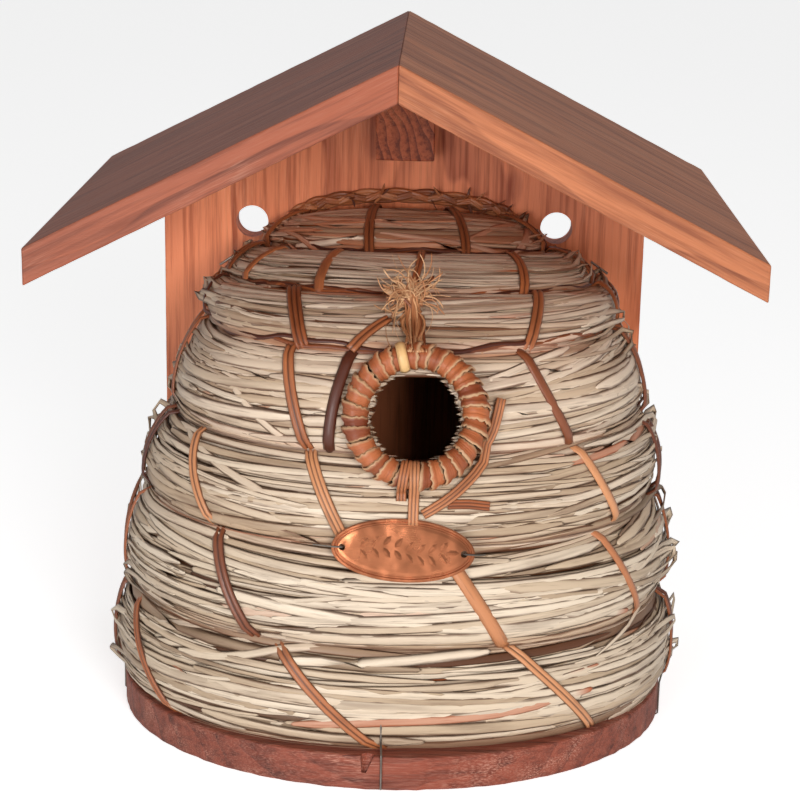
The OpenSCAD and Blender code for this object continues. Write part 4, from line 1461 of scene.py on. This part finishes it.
class NEST_OT_ridge_block(bpy.types.Operator):
    """Makes the block under the ridge, its end grain to the front"""

    bl_idname = "nest.ridge_block"
    bl_label = "Ridge Block"

    def execute(self, context):
        look = context.scene.nest_boards
        low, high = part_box("ridge_block")
        half = high.x
        shoulder = high.z - half * math.tan(look.pitch)
        outline = [Vector((-half, high.y, low.z)), Vector((half, high.y, low.z)),
                   Vector((half, high.y, shoulder)), Vector((0, high.y, high.z)),
                   Vector((-half, high.y, shoulder))]
        block = outline_solid("ridge_block_sawn", outline, Vector((0, low.y - high.y, 0)), look.bevel,
                              0.15 * MM, 3 * MM)
        wood = wood_material("wood_ridge_block", (196, 98, 54), (104, 38, 18), (214, 138, 94), 0.0045, 0.8,
                             0.3, (0.0, 0.0, math.radians(90)), (0.0, 0.045, -0.2))
        dress(block, wood, "backboard", "ridge_block")
        return {"FINISHED"}


class NEST_OT_base_board(bpy.types.Operator):
    """Makes the D-shaped base with its rough front edge"""

    bl_idname = "nest.base_board"
    bl_label = "Base Board"

    def execute(self, context):
        look = context.scene.nest_boards
        surface = StrawSurface(context.scene.nest_skep)
        low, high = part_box("base_board")
        straight = 80 * MM
        s = np.linspace(-LAST_STATION, LAST_STATION, 121)
        x, out = surface.plan(high.x, high.y - low.y, straight, 2.0, s)
        outline = [Vector((a, high.y - b, 0)) for a, b in zip(x, out)]
        board = outline_solid("base_board_sawn", outline, Vector((0, 0, high.z)), look.bevel * 1.6,
                              0.3 * MM, 3 * MM)
        place = Matrix.Translation((-7 * MM, low.y + 0.9 * MM, high.z + 2 * MM))
        lean = Matrix.Rotation(math.radians(10), 4, "Y")
        notch = rod("cutter", 1.2 * MM, 18 * MM, place @ lean, 7, top_radius=5.0 * MM)
        cut_away(board, [notch])
        wood = wood_material("wood_base", (146, 72, 52), (74, 30, 22), (196, 140, 120), 0.007, 0.42, 0.7,
                             (0.0, 0.0, 0.0), (0.0, 0.2, -0.06), bump=0.0006)
        dress(board, wood, "base", "base_board")
        return {"FINISHED"}


# ---------------------------------------------------------------- metal

# The plaque's face from its edge inwards: the width and rise of each step, in millimetres. Together
# the widths stay under the tightest radius of the oval's ends, about 5 mm, or the steps would cross.
PLAQUE_STEPS = ((0.4, 0.25), (0.7, 0.0), (0.3, -0.32), (0.5, 0.0), (0.3, 0.2), (0.4, 0.0), (0.5, 0.07),
                (0.6, 0.05))


# Length, width and height of a leaf of the sprig
LEAF_SIZE = (5.2 * MM, 2.6 * MM, 0.5 * MM)


def steel_material():
    return material_named("drawn_steel", metal_material, "drawn_steel", srgb(160, 154, 146), 0.3, 0.00002)


def leaf(bm, place, angle, length, width, height):
    """A small raised leaf: a pointed outline whose midrib stands up."""
    outline = [(0, 0), (0.3, 0.42), (0.65, 0.45), (1, 0), (0.65, -0.45), (0.3, -0.42)]
    turn = Matrix.Translation(place) @ Matrix.Rotation(angle, 4, "Z")
    verts = [bm.verts.new(turn @ Vector((x * length, y * width, 0))) for x, y in outline]
    crown = [bm.verts.new(turn @ Vector((x * length, 0, height))) for x in (0.3, 0.65)]
    a, b, c, d, e, f = verts
    g, h = crown
    for corners in ((a, g, b), (b, g, h, c), (c, h, d), (d, h, e), (e, h, g, f), (f, g, a),
                    (f, e, d, c, b, a)):
        bm.faces.new(corners)


class NEST_OT_plaque(bpy.types.Operator):
    """Makes the copper oval with a raised rim and a leaf sprig"""

    bl_idname = "nest.plaque"
    bl_label = "Plaque"

    def execute(self, context):
        look = context.scene.nest_plaque
        low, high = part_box("name_plaque")
        middle = (low + high) / 2
        place = (Matrix.Translation(middle) @ Matrix.Rotation(math.radians(90) - look.tilt, 4, "X")
                 @ Matrix.Rotation(look.turn, 4, "Z") @ Matrix.Translation((0, 0, -look.thickness / 2)))
        bm = bmesh.new()
        bmesh.ops.create_circle(bm, cap_ends=True, segments=96, radius=look.height / 2)
        bmesh.ops.scale(bm, vec=(look.length / look.height, 1, 1), verts=bm.verts)
        bottom = bm.faces[:]
        pushed = bmesh.ops.extrude_face_region(bm, geom=bottom)
        bmesh.ops.translate(bm, vec=(0, 0, look.thickness * 0.82),
                            verts=[g for g in pushed["geom"] if isinstance(g, bmesh.types.BMVert)])
        bmesh.ops.recalc_face_normals(bm, faces=bm.faces)
        face = max((f for f in bm.faces), key=lambda f: f.calc_center_median().z)
        for width, rise in PLAQUE_STEPS:
            bmesh.ops.inset_region(bm, faces=[face], thickness=width * MM, depth=rise * MM,
                                   use_even_offset=True)
        mesh = bpy.data.meshes.new("name_plaque_copper")
        bm.to_mesh(mesh)
        bm.free()
        plaque = link(bpy.data.objects.new("name_plaque_copper", mesh))
        cutters = [rod("cutter", look.hole_radius, 4 * look.thickness, Matrix.Translation(
            (side * look.hole_spacing / 2, 0, 0)), 24) for side in (-1, 1)]
        cut_away(plaque, cutters)
        plaque.data.transform(place)
        copper = material_named("plaque_copper", metal_material, "plaque_copper", tuple(look.copper),
                                0.16, 0.0007)
        dress(plaque, copper, "copper", "name_plaque")
        self.add_sprig(look, place, copper)
        for node in ("plaque_wire_left", "plaque_wire_right"):
            self.dress_wire(node)
        return {"FINISHED"}

    def dress_wire(self, node):
        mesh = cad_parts[node].data
        mesh.materials.clear()
        mesh.materials.append(steel_material())

    def add_sprig(self, look, place, copper):
        """Paired leaves along a gentle curve with one at its tip, raised on the plaque's field."""
        bm = bmesh.new()
        field = look.thickness * 1.02
        half = look.length * 0.3
        for i in range(8):
            x = mixed(-half, half * 0.85, i / 7)
            y = 1.2 * MM * math.sin(i * 0.9)
            for side in (-1, 1):
                leaf(bm, Vector((x, y + side * 0.25 * MM, field)), side * math.radians(52), *LEAF_SIZE)
        leaf(bm, Vector((half, 0.2 * MM, field)), 0.0, *LEAF_SIZE)
        bmesh.ops.recalc_face_normals(bm, faces=bm.faces)
        mesh = bpy.data.meshes.new("plaque_sprig")
        bm.to_mesh(mesh)
        bm.free()
        mesh.transform(place)
        dress(link(bpy.data.objects.new("plaque_sprig", mesh)), copper, "copper")


class NEST_OT_fixings(bpy.types.Operator):
    """Gives the nails, screws, staples and tie wires their metal"""

    bl_idname = "nest.fixings"
    bl_label = "Fixings"

    def execute(self, context):
        steel = steel_material()
        for node in ("roof_nails", "base_screws", "edge_staples", "tie_wire_left", "tie_wire_centre",
                     "tie_wire_right"):
            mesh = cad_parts[node].data
            mesh.materials.clear()
            mesh.materials.append(steel)
        return {"FINISHED"}


# ---------------------------------------------------------------- stage

def area_light(name, place, aim, size, power, colour=(1, 1, 1)):
    light = bpy.data.lights.new(name, "AREA")
    light.shape = "RECTANGLE"
    light.size, light.size_y = size
    light.energy = power
    light.color = colour
    obj = link(bpy.data.objects.new(name, light))
    obj.location = place
    obj.rotation_euler = (Vector(aim) - Vector(place)).to_track_quat("-Z", "Y").to_euler()
    return obj


class NEST_OT_stage(bpy.types.Operator):
    """Sets the camera, the pale floor and the soft studio light"""

    bl_idname = "nest.stage"
    bl_label = "Camera and Studio"

    def execute(self, context):
        look = context.scene.nest_stage
        self.add_camera(context, look)
        bm = bmesh.new()
        bmesh.ops.create_grid(bm, x_segments=2, y_segments=2, size=9.0)
        mesh = bpy.data.meshes.new("floor")
        bm.to_mesh(mesh)
        bm.free()
        floor = link(bpy.data.objects.new("floor", mesh))
        paper, n, shader = new_material("floor_paper")
        shader.inputs["Base Color"].default_value = (0.92, 0.92, 0.92, 1)
        shader.inputs["Roughness"].default_value = 0.9
        shader.inputs["Emission Color"].default_value = (1, 1, 1, 1)
        seen = n.tree.nodes.new("ShaderNodeLightPath").outputs["Is Camera Ray"]
        n.put(shader.inputs["Emission Strength"], n.math("ADD", n.math("MULTIPLY", seen, 0.5), 0.12))
        mesh.materials.append(paper)
        world = bpy.data.worlds.new("studio")
        world.use_nodes = True
        background = world.node_tree.nodes["Background"]
        background.inputs["Color"].default_value = (1, 1, 1, 1)
        sky = Nodes(world.node_tree)
        path = world.node_tree.nodes.new("ShaderNodeLightPath")
        seen = path.outputs["Is Camera Ray"]
        glossy = path.outputs["Is Glossy Ray"]
        lit = sky.math("ADD", sky.math("MULTIPLY", seen, 0.75), 0.25)
        sky.put(background.inputs["Strength"], sky.math("ADD", lit, sky.math("MULTIPLY", glossy, 0.2)))
        context.scene.world = world
        key = area_light("key", (0.42, -1.35, 0.52), (0, 0, 0.16), (0.5, 0.5), 13.8)
        key.visible_glossy = False
        area_light("fill", (-0.55, -1.2, 0.26), (0, 0, 0.16), (0.5, 0.5), 6.5)
        area_light("top", (0.0, 0.3, 1.6), (0, 0, 0.0), (1.6, 1.6), 1.0)
        context.scene.view_settings.view_transform = "Standard"
        return {"FINISHED"}

    def add_camera(self, context, look):
        camera = bpy.data.cameras.new("camera")
        camera.lens = look.lens
        camera.sensor_width = 36.0
        ahead = Vector((math.sin(look.yaw) * math.cos(look.pitch), math.cos(look.yaw) * math.cos(look.pitch),
                        -math.sin(look.pitch)))
        level = Vector((math.cos(look.yaw), -math.sin(look.yaw), 0))
        over = level.cross(ahead)
        right = level * math.cos(look.roll) + over * math.sin(look.roll)
        up = over * math.cos(look.roll) - level * math.sin(look.roll)
        obj = link(bpy.data.objects.new("camera", camera))
        obj.matrix_world = Matrix((
            (right.x, up.x, -ahead.x, look.camera_place[0]),
            (right.y, up.y, -ahead.y, look.camera_place[1]),
            (right.z, up.z, -ahead.z, look.camera_place[2]),
            (0, 0, 0, 1)))
        context.scene.camera = obj


OPERATORS = (
    NEST_OT_backboard,
    NEST_OT_roof,
    NEST_OT_ridge_block,
    NEST_OT_base_board,
    NEST_OT_straw_rows,
    NEST_OT_stitches,
    NEST_OT_edge_bindings,
    NEST_OT_top_binding,
    NEST_OT_entrance_ring,
    NEST_OT_raffia_knot,
    NEST_OT_plaque,
    NEST_OT_fixings,
    NEST_OT_stage,
)


class NEST_PT_panel(bpy.types.Panel):
    """Lists the steps that build the nest box"""

    bl_idname = "NEST_PT_panel"
    bl_label = "Nest Box"
    bl_space_type = "VIEW_3D"
    bl_region_type = "UI"
    bl_category = "Nest Box"

    def draw(self, context):
        for operator in OPERATORS:
            self.layout.operator(operator.bl_idname)


def register():
    for name, look in LOOKS.items():
        bpy.utils.register_class(look)
        setattr(bpy.types.Scene, name, bpy.props.PointerProperty(type=look))
    for operator in OPERATORS:
        bpy.utils.register_class(operator)
    bpy.utils.register_class(NEST_PT_panel)


def unregister():
    bpy.utils.unregister_class(NEST_PT_panel)
    for operator in reversed(OPERATORS):
        bpy.utils.unregister_class(operator)
    for name, look in reversed(LOOKS.items()):
        delattr(bpy.types.Scene, name)
        bpy.utils.unregister_class(look)


def main():
    register()
    for operator in OPERATORS:
        group, name = operator.bl_idname.split(".")
        getattr(getattr(bpy.ops, group), name)()


if __name__ == "__main__":
    main()
